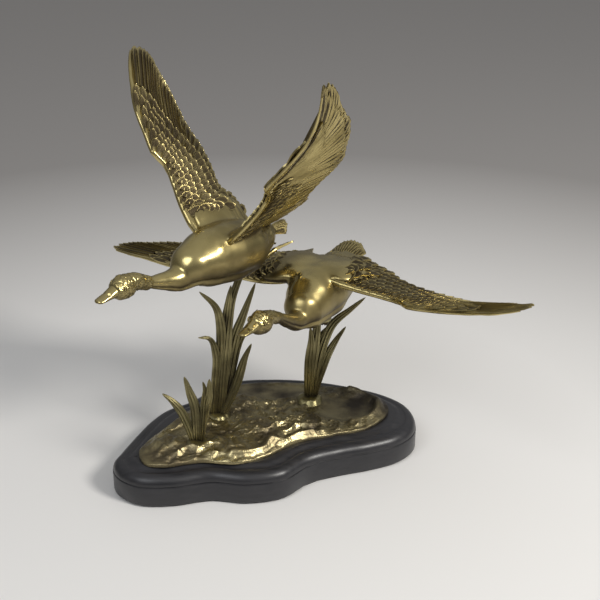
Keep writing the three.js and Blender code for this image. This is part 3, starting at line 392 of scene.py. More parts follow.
def brass(name, look):
    # Cast brass: polished metal, brown patina in the small recesses and painted shade in larger ones and
    # under overhangs, cloudy tone and fine pits
    look = {**brassSpans, **look}
    material, tree, surface = shader(name)
    coords = objectCoords(tree)
    clouds = noiseNode(tree, coords, look["cloudScale"], 4)
    grain = noiseNode(tree, coords, look["grainScale"], 5)
    # Darkening near other surfaces: brown patina in small hollows, and painted shade where the reach is long,
    # as under the wings and between parts
    hollow = tree.nodes.new("ShaderNodeAmbientOcclusion")
    hollow.samples = 6
    hollow.inputs["Distance"].default_value = look["hollowAndShadeReach"] * mm
    depth = rangeNode(tree, hollow.outputs["AO"], look["hollowAndShadeLow"], look["hollowAndShadeHigh"], 1, 0)
    patinaAndShade = mathNode(tree, "MULTIPLY", depth, rangeNode(tree, grain, *look["mottleSpan"], *look["mottle"]))
    patinaAndShade = mathNode(tree, "ADD", patinaAndShade, rangeNode(tree, clouds, *look["tarnishSpan"], 0, look["tarnish"]))
    for axis, start, end, amount in look.get("darkerZones", ()):
        # Darker toward the back and toward the right of the plate
        zone = rangeNode(tree, partsOf(tree, coords)[axis], start * mm, end * mm, 0, amount)
        patinaAndShade = mathNode(tree, "ADD", patinaAndShade, zone)
    height = grain
    if "barbs" in look:
        # The vanes stay dull inside the polished rim and tip of each feather
        shaft = tree.nodes.new("ShaderNodeUVMap")
        shaft.uv_map = "feather"
        across, along, _ = partsOf(tree, shaft.outputs["UV"])
        aside = mathNode(tree, "ABSOLUTE", mathNode(tree, "SUBTRACT", across, 0.5))
        polish = mathNode(tree, "MAXIMUM", rangeNode(tree, aside, *look["polishedRim"], 0, 1),
                          rangeNode(tree, along, *look["polishedTip"], 0, 1))
        vane = mathNode(tree, "SUBTRACT", 1.0, polish)
        patinaAndShade = mathNode(tree, "ADD", patinaAndShade, mathNode(tree, "MULTIPLY", vane, look["vaneDull"]))
        # Fine barbs slant away from each feather's shaft
        slant = mathNode(tree, "SUBTRACT", along, mathNode(tree, "MULTIPLY", aside, look["barbSlant"]))
        lines = mathNode(tree, "SINE", mathNode(tree, "MULTIPLY", slant, look["barbs"]))
        height = mathNode(tree, "ADD", grain, mathNode(tree, "MULTIPLY", lines, look["barbDepth"]))
    if "undersideShade" in look:
        # Painted shade: faces turned down are darkened toward the patina colour, standing in for the shade
        # and dark reflections below the bodies
        facing = partsOf(tree, tree.nodes.new("ShaderNodeNewGeometry").outputs["Normal"])[2]
        below = rangeNode(tree, facing, *look["shadeFacing"], 0, look["undersideShade"])
        patinaAndShade = mathNode(tree, "ADD", patinaAndShade, below)
    patinaAndShade = mathNode(tree, "MINIMUM", patinaAndShade, 1.0)
    tone = mixNode(tree, rangeNode(tree, clouds, *look["cloudSpan"], 0, 1), look["light"], look["deep"])
    tree.links.new(mixNode(tree, patinaAndShade, tone, look["patinaAndShade"]), surface.inputs["Base Color"])
    surface.inputs["Metallic"].default_value = 1
    low, high = look["roughSpread"]
    rough = rangeNode(tree, clouds, *look["cloudSpan"], look["rough"] * low, look["rough"] * high)
    rough = mathNode(tree, "ADD", rough, mathNode(tree, "MULTIPLY", patinaAndShade, look["dullness"]))
    tree.links.new(rough, surface.inputs["Roughness"])
    bumpNode(tree, surface, height, look)
    return material


brassTones = {"light": (0.62, 0.515, 0.235), "deep": (0.44, 0.355, 0.145), "patinaAndShade": (0.075, 0.058, 0.034)}
# Its long hollow reach paints shade under the wings and between parts
polishedBrass = brass("polishedBrass", {
    **brassTones, "cloudScale": 32, "grainScale": 900, "hollowAndShadeReach": 16, "hollowAndShadeLow": 0.15, "hollowAndShadeHigh": 0.82,
    # Faces turned down get painted shade
    "tarnish": 0.55, "rough": 0.24, "dullness": 0.3, "bump": 0.16, "bumpDepth": 0.12, "undersideShade": 0.7,
})
featherBrass = brass("featherBrass", {
    **brassTones, "cloudScale": 60, "grainScale": 1400, "hollowAndShadeReach": 1.8, "hollowAndShadeLow": 0.2, "hollowAndShadeHigh": 0.9,
    "tarnish": 0.25, "rough": 0.22, "dullness": 0.3, "bump": 0.3, "bumpDepth": 0.16,
    "barbs": 150, "barbSlant": 0.5, "barbDepth": 0.4, "vaneDull": 0.85,
})
reedBrass = brass("reedBrass", {
    "light": (0.34, 0.30, 0.15), "deep": (0.23, 0.20, 0.095), "patinaAndShade": (0.05, 0.043, 0.03),
    "cloudScale": 70, "grainScale": 1100, "hollowAndShadeReach": 3, "hollowAndShadeLow": 0.3, "hollowAndShadeHigh": 1.0,
    "tarnish": 0.45, "rough": 0.3, "dullness": 0.3, "bump": 0.4, "bumpDepth": 0.2,
})
groundBrass = brass("groundBrass", {
    "light": (0.50, 0.43, 0.23), "deep": (0.27, 0.22, 0.12), "patinaAndShade": (0.06, 0.052, 0.042),
    "cloudScale": 60, "grainScale": 800, "hollowAndShadeReach": 4, "hollowAndShadeLow": 0.4, "hollowAndShadeHigh": 1.0,
    "tarnish": 0.55, "rough": 0.27, "dullness": 0.25, "bump": 0.7, "bumpDepth": 0.35,
    # Axis, where the darkening starts and where it is full, in millimetres, and its amount
    "darkerZones": ((1, -22, 14, 0.42), (0, 22, 44, 0.3)),
})
lacquerLook = {
    "tones": ((0.012, 0.012, 0.0145), (0.024, 0.023, 0.026)), "toneSpan": (0.3, 0.75),
    "grainScale": 160, "grainStretch": (0.25, 3.0, 3.0), "dustScale": 1100, "dust": 0.4,
    "rough": (0.34, 0.46), "roughSpan": (0.3, 0.7), "coat": 0.2, "coatRough": 0.3,
    "bump": 0.16, "bumpDepth": 0.15,
}
feltLook = {"tones": ((0.008, 0.008, 0.009), (0.035, 0.035, 0.038)), "fibreScale": 1800,
            "rough": 0.95, "sheen": 0.3, "bump": 0.7, "bumpDepth": 0.3}
steelLook = {"tones": ((0.34, 0.34, 0.35), (0.55, 0.55, 0.56)), "markScale": 900, "markStretch": (1, 1, 6),
             "rough": (0.28, 0.45), "roughSpan": (0.3, 0.7)}


def lacquer(look):
    # Black satin lacquer over fine wood grain
    material, tree, surface = shader("blackLacquer")
    coords = objectCoords(tree)
    grain = noiseNode(tree, coords, look["grainScale"], 4, look["grainStretch"])
    dust = noiseNode(tree, coords, look["dustScale"], 3)
    color = mixNode(tree, rangeNode(tree, grain, *look["toneSpan"], 0, 1), *look["tones"])
    tree.links.new(color, surface.inputs["Base Color"])
    tree.links.new(rangeNode(tree, grain, *look["roughSpan"], *look["rough"]), surface.inputs["Roughness"])
    surface.inputs["Coat Weight"].default_value = look["coat"]
    surface.inputs["Coat Roughness"].default_value = look["coatRough"]
    height = mathNode(tree, "ADD", grain, mathNode(tree, "MULTIPLY", dust, look["dust"]))
    bumpNode(tree, surface, height, look)
    return material


def felt(look):
    material, tree, surface = shader("blackFelt")
    fibres = noiseNode(tree, objectCoords(tree), look["fibreScale"], 6)
    tree.links.new(mixNode(tree, fibres, *look["tones"]), surface.inputs["Base Color"])
    surface.inputs["Roughness"].default_value = look["rough"]
    surface.inputs["Sheen Weight"].default_value = look["sheen"]
    bumpNode(tree, surface, fibres, look)
    return material


def steel(look):
    # Fine marks run around a turned screw
    material, tree, surface = shader("screwSteel")
    marks = noiseNode(tree, objectCoords(tree), look["markScale"], 4, look["markStretch"])
    tree.links.new(mixNode(tree, marks, *look["tones"]), surface.inputs["Base Color"])
    surface.inputs["Metallic"].default_value = 1
    tree.links.new(rangeNode(tree, marks, *look["roughSpan"], *look["rough"]), surface.inputs["Roughness"])
    return material


blackLacquer, blackFelt, screwSteel = lacquer(lacquerLook), felt(feltLook), steel(steelLook)
print("materials made")


# Geometry Nodes: feathers on points, each lying along the point's reach

def group(name, sockets):
    tree = bpy.data.node_groups.new(name, "GeometryNodeTree")
    for socketName, kind in sockets:
        tree.interface.new_socket(socketName, in_out="INPUT", socket_type=kind)
    tree.interface.new_socket("Geometry", in_out="OUTPUT", socket_type="NodeSocketGeometry")
    return tree, tree.nodes.new("NodeGroupInput"), tree.nodes.new("NodeGroupOutput")


def readAttribute(tree, name, kind):
    node = tree.nodes.new("GeometryNodeInputNamedAttribute")
    node.data_type = kind
    node.inputs["Name"].default_value = name
    return node.outputs["Attribute"]


def scatterValue(tree, seed, shift):
    # A random number from -1 to 1 for each point
    node = tree.nodes.new("FunctionNodeRandomValue")
    node.data_type = "FLOAT"
    for socket, value in (("Min_001", -1.0), ("Max_001", 1.0)):
        next(s for s in node.inputs if s.identifier == socket).default_value = value
    tree.links.new(mathNode(tree, "ADD", seed, shift), node.inputs["Seed"])
    return next(s for s in node.outputs if s.type == "VALUE")


def paintedResult(tree, geometry, given, result):
    real = tree.nodes.new("GeometryNodeRealizeInstances")
    paint = tree.nodes.new("GeometryNodeSetMaterial")
    tree.links.new(geometry, real.inputs[0])
    tree.links.new(real.outputs[0], paint.inputs["Geometry"])
    tree.links.new(given.outputs["Material"], paint.inputs["Material"])
    tree.links.new(paint.outputs[0], result.inputs[0])


def makeFeatherTree():
    tree, given, result = group("Feathers on points", [
        ("Points", "NodeSocketGeometry"), ("Feather", "NodeSocketObject"), ("Roll", "NodeSocketFloat"),
        ("Pitch", "NodeSocketFloat"), ("Length spread", "NodeSocketFloat"),
        ("Turn spread", "NodeSocketFloat"), ("Seed", "NodeSocketInt"), ("Material", "NodeSocketMaterial"),
    ])
    reach, seed = readAttribute(tree, "reach", "FLOAT_VECTOR"), given.outputs["Seed"]
    x, y, z = partsOf(tree, reach)
    span = lengthOf(tree, reach)
    turn = mathNode(tree, "ARCTAN2", mathNode(tree, "MULTIPLY", x, -1.0), y)
    loose = mathNode(tree, "MULTIPLY", given.outputs["Turn spread"], scatterValue(tree, seed, 1.0))
    climb = mathNode(tree, "ARCSINE", mathNode(tree, "DIVIDE", z, span))
    angles = combined(tree, mathNode(tree, "ADD", given.outputs["Pitch"], climb), given.outputs["Roll"],
                      mathNode(tree, "ADD", turn, loose))
    rotation = tree.nodes.new("FunctionNodeEulerToRotation")
    tree.links.new(angles, rotation.inputs[0])
    uneven = mathNode(tree, "MULTIPLY", given.outputs["Length spread"], scatterValue(tree, seed, 2.0))
    length = mathNode(tree, "MULTIPLY", span, mathNode(tree, "ADD", uneven, 1.0))
    feather = tree.nodes.new("GeometryNodeObjectInfo")
    tree.links.new(given.outputs["Feather"], feather.inputs["Object"])
    copies = tree.nodes.new("GeometryNodeInstanceOnPoints")
    tree.links.new(given.outputs["Points"], copies.inputs["Points"])
    tree.links.new(feather.outputs["Geometry"], copies.inputs["Instance"])
    tree.links.new(rotation.outputs[0], copies.inputs["Rotation"])
    tree.links.new(combined(tree, readAttribute(tree, "width", "FLOAT"), length, 1), copies.inputs["Scale"])
    paintedResult(tree, copies.outputs[0], given, result)
    return tree


def makeBladeTree():
    # A reed blade: a ribbed, lens-shaped section swept along its path, wide face to the front
    tree, given, result = group("Ribbed blade", [
        ("Path", "NodeSocketGeometry"), ("Width", "NodeSocketFloat"), ("Thickness", "NodeSocketFloat"),
        ("Ribs", "NodeSocketInt"), ("Rib depth", "NodeSocketFloat"), ("Steps", "NodeSocketInt"),
        ("Material", "NodeSocketMaterial"),
    ])
    even = tree.nodes.new("GeometryNodeResampleCurve")
    tree.links.new(given.outputs["Path"], even.inputs["Curve"])
    tree.links.new(given.outputs["Steps"], even.inputs["Count"])
    facing = tree.nodes.new("GeometryNodeSetCurveNormal")
    facing.mode = "FREE"
    facing.inputs["Normal"].default_value = (0, -1, 0.05)
    tree.links.new(even.outputs[0], facing.inputs["Curve"])
    circle = tree.nodes.new("GeometryNodeCurvePrimitiveCircle")
    circle.inputs["Resolution"].default_value = 56
    circle.inputs["Radius"].default_value = 1
    x, y, _ = partsOf(tree, tree.nodes.new("GeometryNodeInputPosition").outputs[0])
    turn = mathNode(tree, "ARCTAN2", y, x)
    wave = mathNode(tree, "COSINE", mathNode(tree, "MULTIPLY", turn, given.outputs["Ribs"]))
    swell = mathNode(tree, "ADD", mathNode(tree, "MULTIPLY", wave, given.outputs["Rib depth"]), 1.0)
    thick = mathNode(tree, "MULTIPLY", mathNode(tree, "MULTIPLY", x, swell), given.outputs["Thickness"])
    section = combined(tree, thick, mathNode(tree, "MULTIPLY", y, given.outputs["Width"]))
    shape = tree.nodes.new("GeometryNodeSetPosition")
    tree.links.new(circle.outputs["Curve"], shape.inputs["Geometry"])
    tree.links.new(section, shape.inputs["Position"])
    sweep = tree.nodes.new("GeometryNodeCurveToMesh")
    tree.links.new(facing.outputs[0], sweep.inputs["Curve"])
    tree.links.new(shape.outputs[0], sweep.inputs["Profile Curve"])
    tree.links.new(readAttribute(tree, "radius", "FLOAT"), sweep.inputs["Scale"])
    sweep.inputs["Fill Caps"].default_value = True
    paintedResult(tree, sweep.outputs[0], given, result)
    return tree


featherTree, bladeTree = makeFeatherTree(), makeBladeTree()


def grown(source, tree, settings, name):
    # Runs a tree on an object, and keeps the result as a plain mesh
    modifier = source.modifiers.new(tree.name, "NODES")
    modifier.node_group = tree
    sockets = {s.name: s.identifier for s in tree.interface.items_tree if s.in_out == "INPUT"}
    for key, value in settings.items():
        modifier[sockets[key]] = value
    return madeReal(source, name)


# Feather shapes, one unit long and wide, with heights in millimetres

def featherShape(name, shape):
    across, along = shape["across"], shape["along"]
    side = np.linspace(-1, 1, across)
    reach = np.linspace(0, 1, along) ** shape["spacing"]
    tip = np.clip((reach - shape["tipFrom"]) / (1 - shape["tipFrom"]), 0, 1)
    # Half the width, from a narrower root to a rounded tip
    half = shape["rootWidth"] + (1 - shape["rootWidth"]) * easeStep(reach, 0, 0.5)
    half = half * np.sqrt(np.maximum(1 - tip ** shape["tipPower"], 0.004)) / 2
    x = side[:, None] * half - shape["bow"] * 4 * reach * (1 - reach)
    y = np.repeat(reach[None], across, 0) - shape["swept"] * side[:, None] ** 2 * tip
    crown = shape["crown"] * (1 - side[:, None] ** 2)
    shaft = shape["shaft"] * hump(side[:, None], shape["shaftWidth"]) * (1 - reach * 0.6)
    rim = shape["rim"] * np.maximum(side[:, None] ** 6, easeStep(reach, 0.8, 1.0))
    rise = shape["rise"] * reach
    over = np.stack([x, y, crown + shaft + rim + rise], -1)
    under = np.stack([x, y, rise - shape["thickness"] + crown * 0.4], -1)
    if shape["facing"] < 0:
        over, under = over * [1, 1, -1], under * [1, 1, -1]
    points, faces, border = twoSided(over, under, shape["plainUnder"])
    # The UV map runs across and along the vane; more polish leaves less of it dull
    uv = np.broadcast_arrays(side[:, None] / 2 * shape["polish"] + 0.5, reach[None])
    uv = np.stack(uv, -1).reshape(-1, 2)
    uv = np.vstack([uv, uv[border] if shape["plainUnder"] else uv])
    obj = meshObject(name, points, outward(points, faces), uv)
    obj.hide_render = True
    return obj


longFeather = {"across": 7, "along": 14, "spacing": 1, "rootWidth": 0.9, "tipFrom": 0.82, "tipPower": 1.9,
               "crown": 0.05, "shaft": 0.3, "shaftWidth": 0.17, "rim": 0.5, "rise": 0, "thickness": 0.55,
               "swept": 0.02, "bow": 0.22, "facing": 1, "plainUnder": False, "polish": 1.6}
shortFeather = {"across": 5, "along": 6, "spacing": 0.8, "rootWidth": 0.5, "tipFrom": 0.4, "tipPower": 2.2,
                "crown": -0.1, "shaft": 0.1, "shaftWidth": 0.25, "rim": 0.35, "rise": 0.35, "thickness": 0.5,
                "swept": 0, "bow": 0, "facing": 1, "plainUnder": True, "polish": 1}
featherForms = {
    "flight": featherShape("flightFeather", longFeather),
    "underLong": featherShape("underFeather", {**longFeather, "shaft": 0.5, "rim": 0.3, "facing": -1,
                                               "thickness": 0.4, "plainUnder": True}),
    "scale": featherShape("scaleFeather", shortFeather),
    "underScale": featherShape("underScaleFeather", {**shortFeather, "rise": 0.6, "rim": 0.3, "shaft": 0.3,
                                                     "facing": -1}),
    "tail": featherShape("tailFeather", {**longFeather, "bow": 0, "tipFrom": 0.88, "shaft": 0.3,
                                         "rim": 0.45}),
}


def featherRow(name, roots, tips, widths, form, settings):
    roots, tips = np.asarray(roots, float), np.asarray(tips, float)
    source = meshObject(name, roots, [])
    for key, kind, values in (("reach", "FLOAT_VECTOR", tips - roots), ("width", "FLOAT", widths)):
        attribute = source.data.attributes.new(key, kind, "POINT")
        attribute.data.foreach_set("vector" if kind == "FLOAT_VECTOR" else "value",
                                   np.asarray(values, np.float32).ravel())
    defaults = {"Roll": 0.0, "Pitch": 0.0, "Length spread": 0.03, "Turn spread": 0.01, "Seed": 5,
                "Material": featherBrass}
    return grown(source, featherTree, {**defaults, **settings, "Feather": featherForms[form]}, name)


# Birds, each in its own frame: +X to the bill, +Y to its left, +Z up

birdShape = {
    "bodyFront": 39, "bodyBack": 35, "halfWidth": 18, "top": 16.5, "bottom": 18.5,
    "neckBase": 7.4, "neckRoot": 4.9, "neckRadius": 3.3, "nape": 4.3,
    "headWidth": 5.9, "headHeight": 6.6, "brow": 2, "eye": 1.5,
    # The face, in front of the head's middle, and how much it draws in at cheeks, brow and jaw
    "faceAt": 0.7, "cheek": 0.8, "browDrop": 1.6, "jawRise": 1.8,
    "billLength": 10.4, "billWidth": 3.4, "billHeight": 2.8, "billTip": 0.9, "billRootRise": 0.6,
    "billMiddle": 0.6, "billMiddleUp": 1.7, "billMiddleDown": 1.8, "billDrawIn": 1.2, "breastFrom": 0.2,
    "boss": 0.8, "saddleRadius": 4.5,
    # along, width, top, bottom, lift
    "plan": [(-1, 0.3, 0.3, 0.26, 3), (-0.76, 0.6, 0.58, 0.58, 2), (-0.36, 0.92, 0.9, 0.93, 0),
             (0.05, 1, 1, 1, 0), (0.45, 0.91, 0.94, 0.94, -0.5), (0.75, 0.72, 0.7, 0.76, -2.4)],
}
# Angles are in degrees. Rise, sweep and droop are read from a wing's shoulder to its tip
upperBird = {
    "name": "upper_bird", "place": [-18.5, -5, 133.5], "turn": 229, "noseDown": -3.5, "bank": 0,
    "breastWidth": 1, "neckSlim": 1, "neckBaseLift": -7.3, "neck": [[50, 0, -6.3], [60, 0, -4.4]],
    "head": [78, 0, -2], "headTurn": 0, "headDip": 11, "saddleForward": -15,
    "tail": {"length": 16, "spread": 8, "arch": 5, "rootWidth": 8},
    "left": {
        "rise": [46, 54, 41.5, 49, 83.5], "sweep": [-2.5, 13.5, 12, 13, 8.5], "droop": [-5, 4.5, 6, -2, -5],
        "widen": 1.06, "setBack": 3.2, "coversFrom": 0, "fairing": {"at": [4.2, 16, 2], "reach": [7, 16, 3]},
    },
    "right": {
        "rise": [45, 52, 48.5, 45.5, 9.5], "sweep": [8.5, -6, -3.5, -25.5, -48], "droop": [7, 10.5, -3.5],
        "widen": 1, "setBack": -0.8, "coversFrom": 0,
        "fairing": {"at": [3, 24, 2.5], "reach": [19, 22.5, 5.5]},
    },
}
lowerBird = {
    "name": "lower_bird", "place": [35.5, 14, 102], "turn": 246.5, "noseDown": 1.5, "bank": 8,
    "breastWidth": 0.9, "neckSlim": 0.84, "neckBaseLift": -4.6, "neck": [[48.5, 0, -0.8], [59.5, 0, 6.4]],
    "head": [76, -2, 11.4], "headTurn": -12, "headDip": -2, "saddleForward": 3,
    "tail": {"length": 21, "spread": 20, "arch": 4, "rootWidth": 10},
    "left": {
        "rise": [-17.5, -9.5, 7.5, 15, 23.5], "sweep": [2.5, 10.5, 22.5, 28, 16], "droop": [6.5, 20, 15.5],
        "widen": 1, "setBack": -1.5, "coversFrom": -3, "fairing": {"at": [4, 20, 2.5], "reach": [14, 20, 5]},
    },
    "right": {
        "rise": [-6.5, 13, 8.5, 3.5, -3.5], "sweep": [19, 4, -2.5, -14, -28.5], "droop": [1.5, 4.5, -3.5],
        "widen": 1, "setBack": 0, "coversFrom": -2, "fairing": {"at": [3, 17, 3.5], "reach": [20, 22, 6.5]},
    },
}


def toWorld(bird, points):
    # From the bird's own frame in millimetres to the shared frame in metres
    angles = [math.radians(bird[key]) for key in ("bank", "noseDown", "turn")]
    turn = np.array(Euler(angles, "XYZ").to_matrix())
    return (np.asarray(points, float) @ turn.T + np.array(bird["place"])) * mm


def headFrame(bird):
    # Ahead, to the left and up
    turn, dip = math.radians(bird["headTurn"]), math.radians(bird["headDip"])
    way = np.array([math.cos(turn) * math.cos(dip), math.sin(turn) * math.cos(dip), -math.sin(dip)])
    side = unit(np.cross([0, 0, 1], way))
    return way, side, np.cross(way, side)


def bodyStations(bird):
    # Middle of each ring, then its half sizes across, up and down
    s = birdShape
    stations = []
    for along, width, top, bottom, lift in s["plan"]:
        wide = width * s["halfWidth"] * (bird["breastWidth"] if along > s["breastFrom"] else 1)
        middle = [along * (s["bodyBack"] if along < 0 else s["bodyFront"]), 0, lift]
        stations.append((middle, [wide, top * s["top"], bottom * s["bottom"]]))
    way = headFrame(bird)[0]
    billBase = s["headHeight"] + s["brow"]

    def onHead(ahead):
        return list(np.array(bird["head"]) + way * ahead)

    necks = (([s["bodyFront"], 0, bird["neckBaseLift"]], "neckBase"), (bird["neck"][0], "neckRoot"),
             (bird["neck"][1], "neckRadius"), (onHead(-s["headHeight"]), "nape"))
    stations += [(at, [s[key] * bird["neckSlim"]] * 3) for at, key in necks]
    # The head's middle and face, then the bill's root, middle and tip
    return stations + [
        (onHead(0), [s["headWidth"], s["headHeight"], s["headHeight"] - s["cheek"]]),
        (onHead(s["headHeight"] * s["faceAt"]),
         [s["headWidth"] - s["cheek"], s["headHeight"] - s["browDrop"], s["headHeight"] - s["jawRise"]]),
        (onHead(billBase), [s["billWidth"], s["billHeight"] + s["billRootRise"], s["billHeight"]]),
        (onHead(billBase + s["billLength"] * s["billMiddle"]),
         [s["billWidth"], s["billTip"] * s["billMiddleUp"], s["billTip"] * s["billMiddleDown"]]),
        (onHead(billBase + s["billLength"]), [s["billWidth"] - s["billDrawIn"], s["billTip"], s["billTip"]]),
    ]


def bodyRings(bird, shares, sides):
    stations = bodyStations(bird)
    centres, halves = (np.array([s[k] for s in stations], float) for k in (0, 1))
    path = curveThrough(centres, shares)
    place = np.asarray(shares) * (len(stations) - 1)
    low = np.minimum(place.astype(int), len(stations) - 2)
    local = (place - low)[:, None]
    ease = (local * local * (3 - 2 * local) + local) / 2
    half = halves[low] * (1 - ease) + halves[low + 1] * ease
    across, up = pathFrame(path)
    turn = fullTurn(sides)
    high = np.where(np.sin(turn) > 0, half[:, 1:2], half[:, 2:3]) * np.sin(turn)
    wide = half[:, :1] * np.cos(turn)
    rings = path[:, None] + across[:, None] * wide[..., None] + up[:, None] * high[..., None]
    return rings, path, half


def bellyLevel(bird):
    _, path, half = bodyRings(bird, np.linspace(0, 1, 27), 4)
    over = np.abs(path[:, 0] - bird["saddleForward"]) < birdShape["saddleRadius"]
    return (path[over, 2] - half[over, 2]).min()


# Wings: a flat pattern in span, chord and height, bent by rise, sweep and droop

wingShape = {
    "length": 139, "camber": 2.4, "camberBack": 0.75, "tipFlat": 0.7, "shoulder": [14, 12, 9], "steps": 56,
    "lead": [[-12, 0], [0, 0], [7, -0.3], [18.5, 1.5], [30, 3.6], [39, 4.2], [45, 3], [49, 0], [53, -2.6],
             [58, -2.6], [68, -1.6], [82, -1], [98, 1], [114, 1.2], [128, 1.6], [139, 2.4]],
    "trail": [[-2.5, 55], [6.5, 49], [19, 47.5], [26, 42.5], [34.5, 41.5], [46.5, 42.5], [58, 41.5],
              [66.5, 39], [78, 36], [98, 30.5], [108, 26], [113, 22.5], [118, 19.5], [124, 16.5],
              [130.5, 13.4], [135.5, 9], [137.1, 6.2], [136.6, 3.6]],
    "plateEnd": [[-12, 46], [-2, 45], [8, 39], [20, 36], [40, 34.5], [60, 31], [75, 27], [85, 20.5],
                 [93, 12.5], [99, 6.5], [104, 3.6], [112, 3.2], [122, 2.8], [139, 2.6]],
    "rim": [[0, 2.1], [60, 1.6], [120, 0.95], [139, 0.7]], "backEdge": 0.45, "rimWidth": 2.2, "hollow": 0.45,
    # The cast plate: span that it covers, shares of its chord near the rounded rim, unevenness below
    "plateSpan": (-10, 131), "rimShares": [0, 0.004, 0.012, 0.025, 0.045, 0.07, 0.1, 0.14, 0.19],
    "plateRows": (8, 108), "dents": 0.12, "dentSize": 5,
}


trailLine = evenCurve(wingShape["trail"], 400)


def wingBend(pose, side):
    s = wingShape
    share = np.arange(s["steps"] + 1) / s["steps"]
    rise, sweep, droop = (np.radians(alongNodes(pose[key], share)) for key in ("rise", "sweep", "droop"))
    out = np.stack([np.sin(sweep), side * np.cos(sweep) * np.cos(rise), np.cos(sweep) * np.sin(rise)], 1)
    moves = (out[1:] + out[:-1]) * s["length"] / s["steps"] / 2
    place = np.array(s["shoulder"]) * [1, side, 1] + np.vstack([[0, 0, 0], np.cumsum(moves, axis=0)])
    level = unit(np.array([-1.0, 0, 0]) + out * out[:, :1])
    levelTop = np.cross(out, level) * side
    back = unit(level * np.cos(droop)[:, None] - levelTop * np.sin(droop)[:, None])
    return {"place": place, "out": out, "back": back, "top": np.cross(out, back) * side}


def bentWing(flat, bend, pose):
    # Widens the pattern, lays it over the wing's camber, and bends it
    s = wingShape
    span, chord, height = np.asarray(flat, float).T
    share = np.clip(span / s["length"], 0, 1)
    lead, trail = readLine(s["lead"], span), readLine(s["trail"], span)
    along = np.clip((chord - lead) / (trail - lead), 0, 1.15)
    chord = lead + (chord - lead) * pose["widen"] + pose["setBack"] * np.sin(math.pi * share)
    # The camber is highest two thirds of the way back, and flatter toward the tip
    height = height + s["camber"] * along * (1 - along * s["camberBack"]) * 4 * (1 - s["tipFlat"] * share)
    step = np.clip(share * s["steps"], 0, s["steps"] - 1e-6)
    low = step.astype(int)
    mix = (step - low)[:, None]
    place, out, back, top = (bend[key][low] * (1 - mix) + bend[key][low + 1] * mix
                             for key in ("place", "out", "back", "top"))
    beyond = span - np.clip(span, 0, s["length"])
    return place + out * beyond[:, None] + unit(back) * chord[:, None] + unit(top) * height[:, None]


def fairingFrame(pose, side):
    # Middle and three radii of the swelling that joins a wing to the body
    bend = wingBend(pose, side)
    place, back, top = (bend[key][0] for key in ("place", "back", "top"))
    out = unit(np.cross(back, top))
    out = out * (1 if np.sign(out[1]) == side else -1)
    at, reach = pose["fairing"]["at"], pose["fairing"]["reach"]
    middle = place + out * at[0] + back * at[1] + top * at[2]
    return middle, np.array([out * reach[0], back * reach[1], top * reach[2]])


def fromFairing(points, fairing):
    # 1 on the fairing's skin, less inside it
    middle, axes = fairing
    return np.linalg.norm((points - middle) @ (axes / np.sum(axes ** 2, axis=1)[:, None]).T, axis=-1)


def plateHeights(span, chord):
    # Upper and lower level of the cast plate, measured from the wing's camber
    s = wingShape
    lead, end = readLine(s["lead"], span), readLine(s["plateEnd"], span)
    inwards = np.clip(chord - lead, 0, None)
    rim = readLine(s["rim"], span)
    half = rim + (s["backEdge"] - rim) * np.clip(inwards / np.maximum(end - lead, 1), 0, 1)
    rounded = np.sqrt(np.clip(1 - (1 - np.clip(inwards / rim, 0, 1)) ** 2, 0, 1))
    hollow = s["hollow"] * easeStep(inwards, s["rimWidth"] * 0.7, s["rimWidth"] * 1.3)
    return half * rounded, -half * rounded + hollow * (1 - inwards / np.maximum(end - lead, 1) * 0.5)


def coverHeight(span, chord, bend, pose, skin):
    # Level that feathers lie on: the plate, or the body's skin where it stands higher
    above = covertRows["search"]
    top = plateHeights(span, chord)[0]
    start, foot = (bentWing(np.column_stack([span, chord, span * 0 + z]), bend, pose) for z in (above, 0))
    for i, (place, way) in enumerate(zip(start, unit(foot - start))):
        distance = skin.ray_cast(Vector(place), Vector(way), above)[3]
        if distance is not None:
            top[i] = max(top[i], above - distance)
    return top


def wingPlate(name):
    s = wingShape
    (inner, outer), (innerRows, outerRows) = s["plateSpan"], s["plateRows"]
    spans = np.concatenate([np.linspace(inner, 0, innerRows)[:-1], np.linspace(0, outer, outerRows)])
    share = np.concatenate([s["rimShares"], np.linspace(0.25, 1, 10)])
    lead, end = readLine(s["lead"], spans), readLine(s["plateEnd"], spans)
    chord = lead[:, None] + (end - lead)[:, None] * share
    flatSpan = np.repeat(spans, len(share))
    over, under = (h.reshape(chord.shape) for h in plateHeights(flatSpan, chord.ravel()))
    # A cast plate is never quite even
    flat = np.column_stack([flatSpan, chord.ravel(), flatSpan * 0])
    dents = softNoise(flat, s["dentSize"], 3).reshape(chord.shape)
    under = under + s["dents"] * dents * (share > 0.03)
    wide = np.repeat(spans[:, None], len(share), 1)
    over, under = (np.stack([wide, chord, level], -1) for level in (over, under))
    rings = np.concatenate([over, under[:, -1:0:-1]], 1)
    points, faces = loft(rings)
    # The plate counts as a feather's polished tip
    obj = meshObject(name, points, outward(points, faces), np.tile([[0.0, 1.0]], (len(points), 1)))
    return painted(obj, featherBrass)


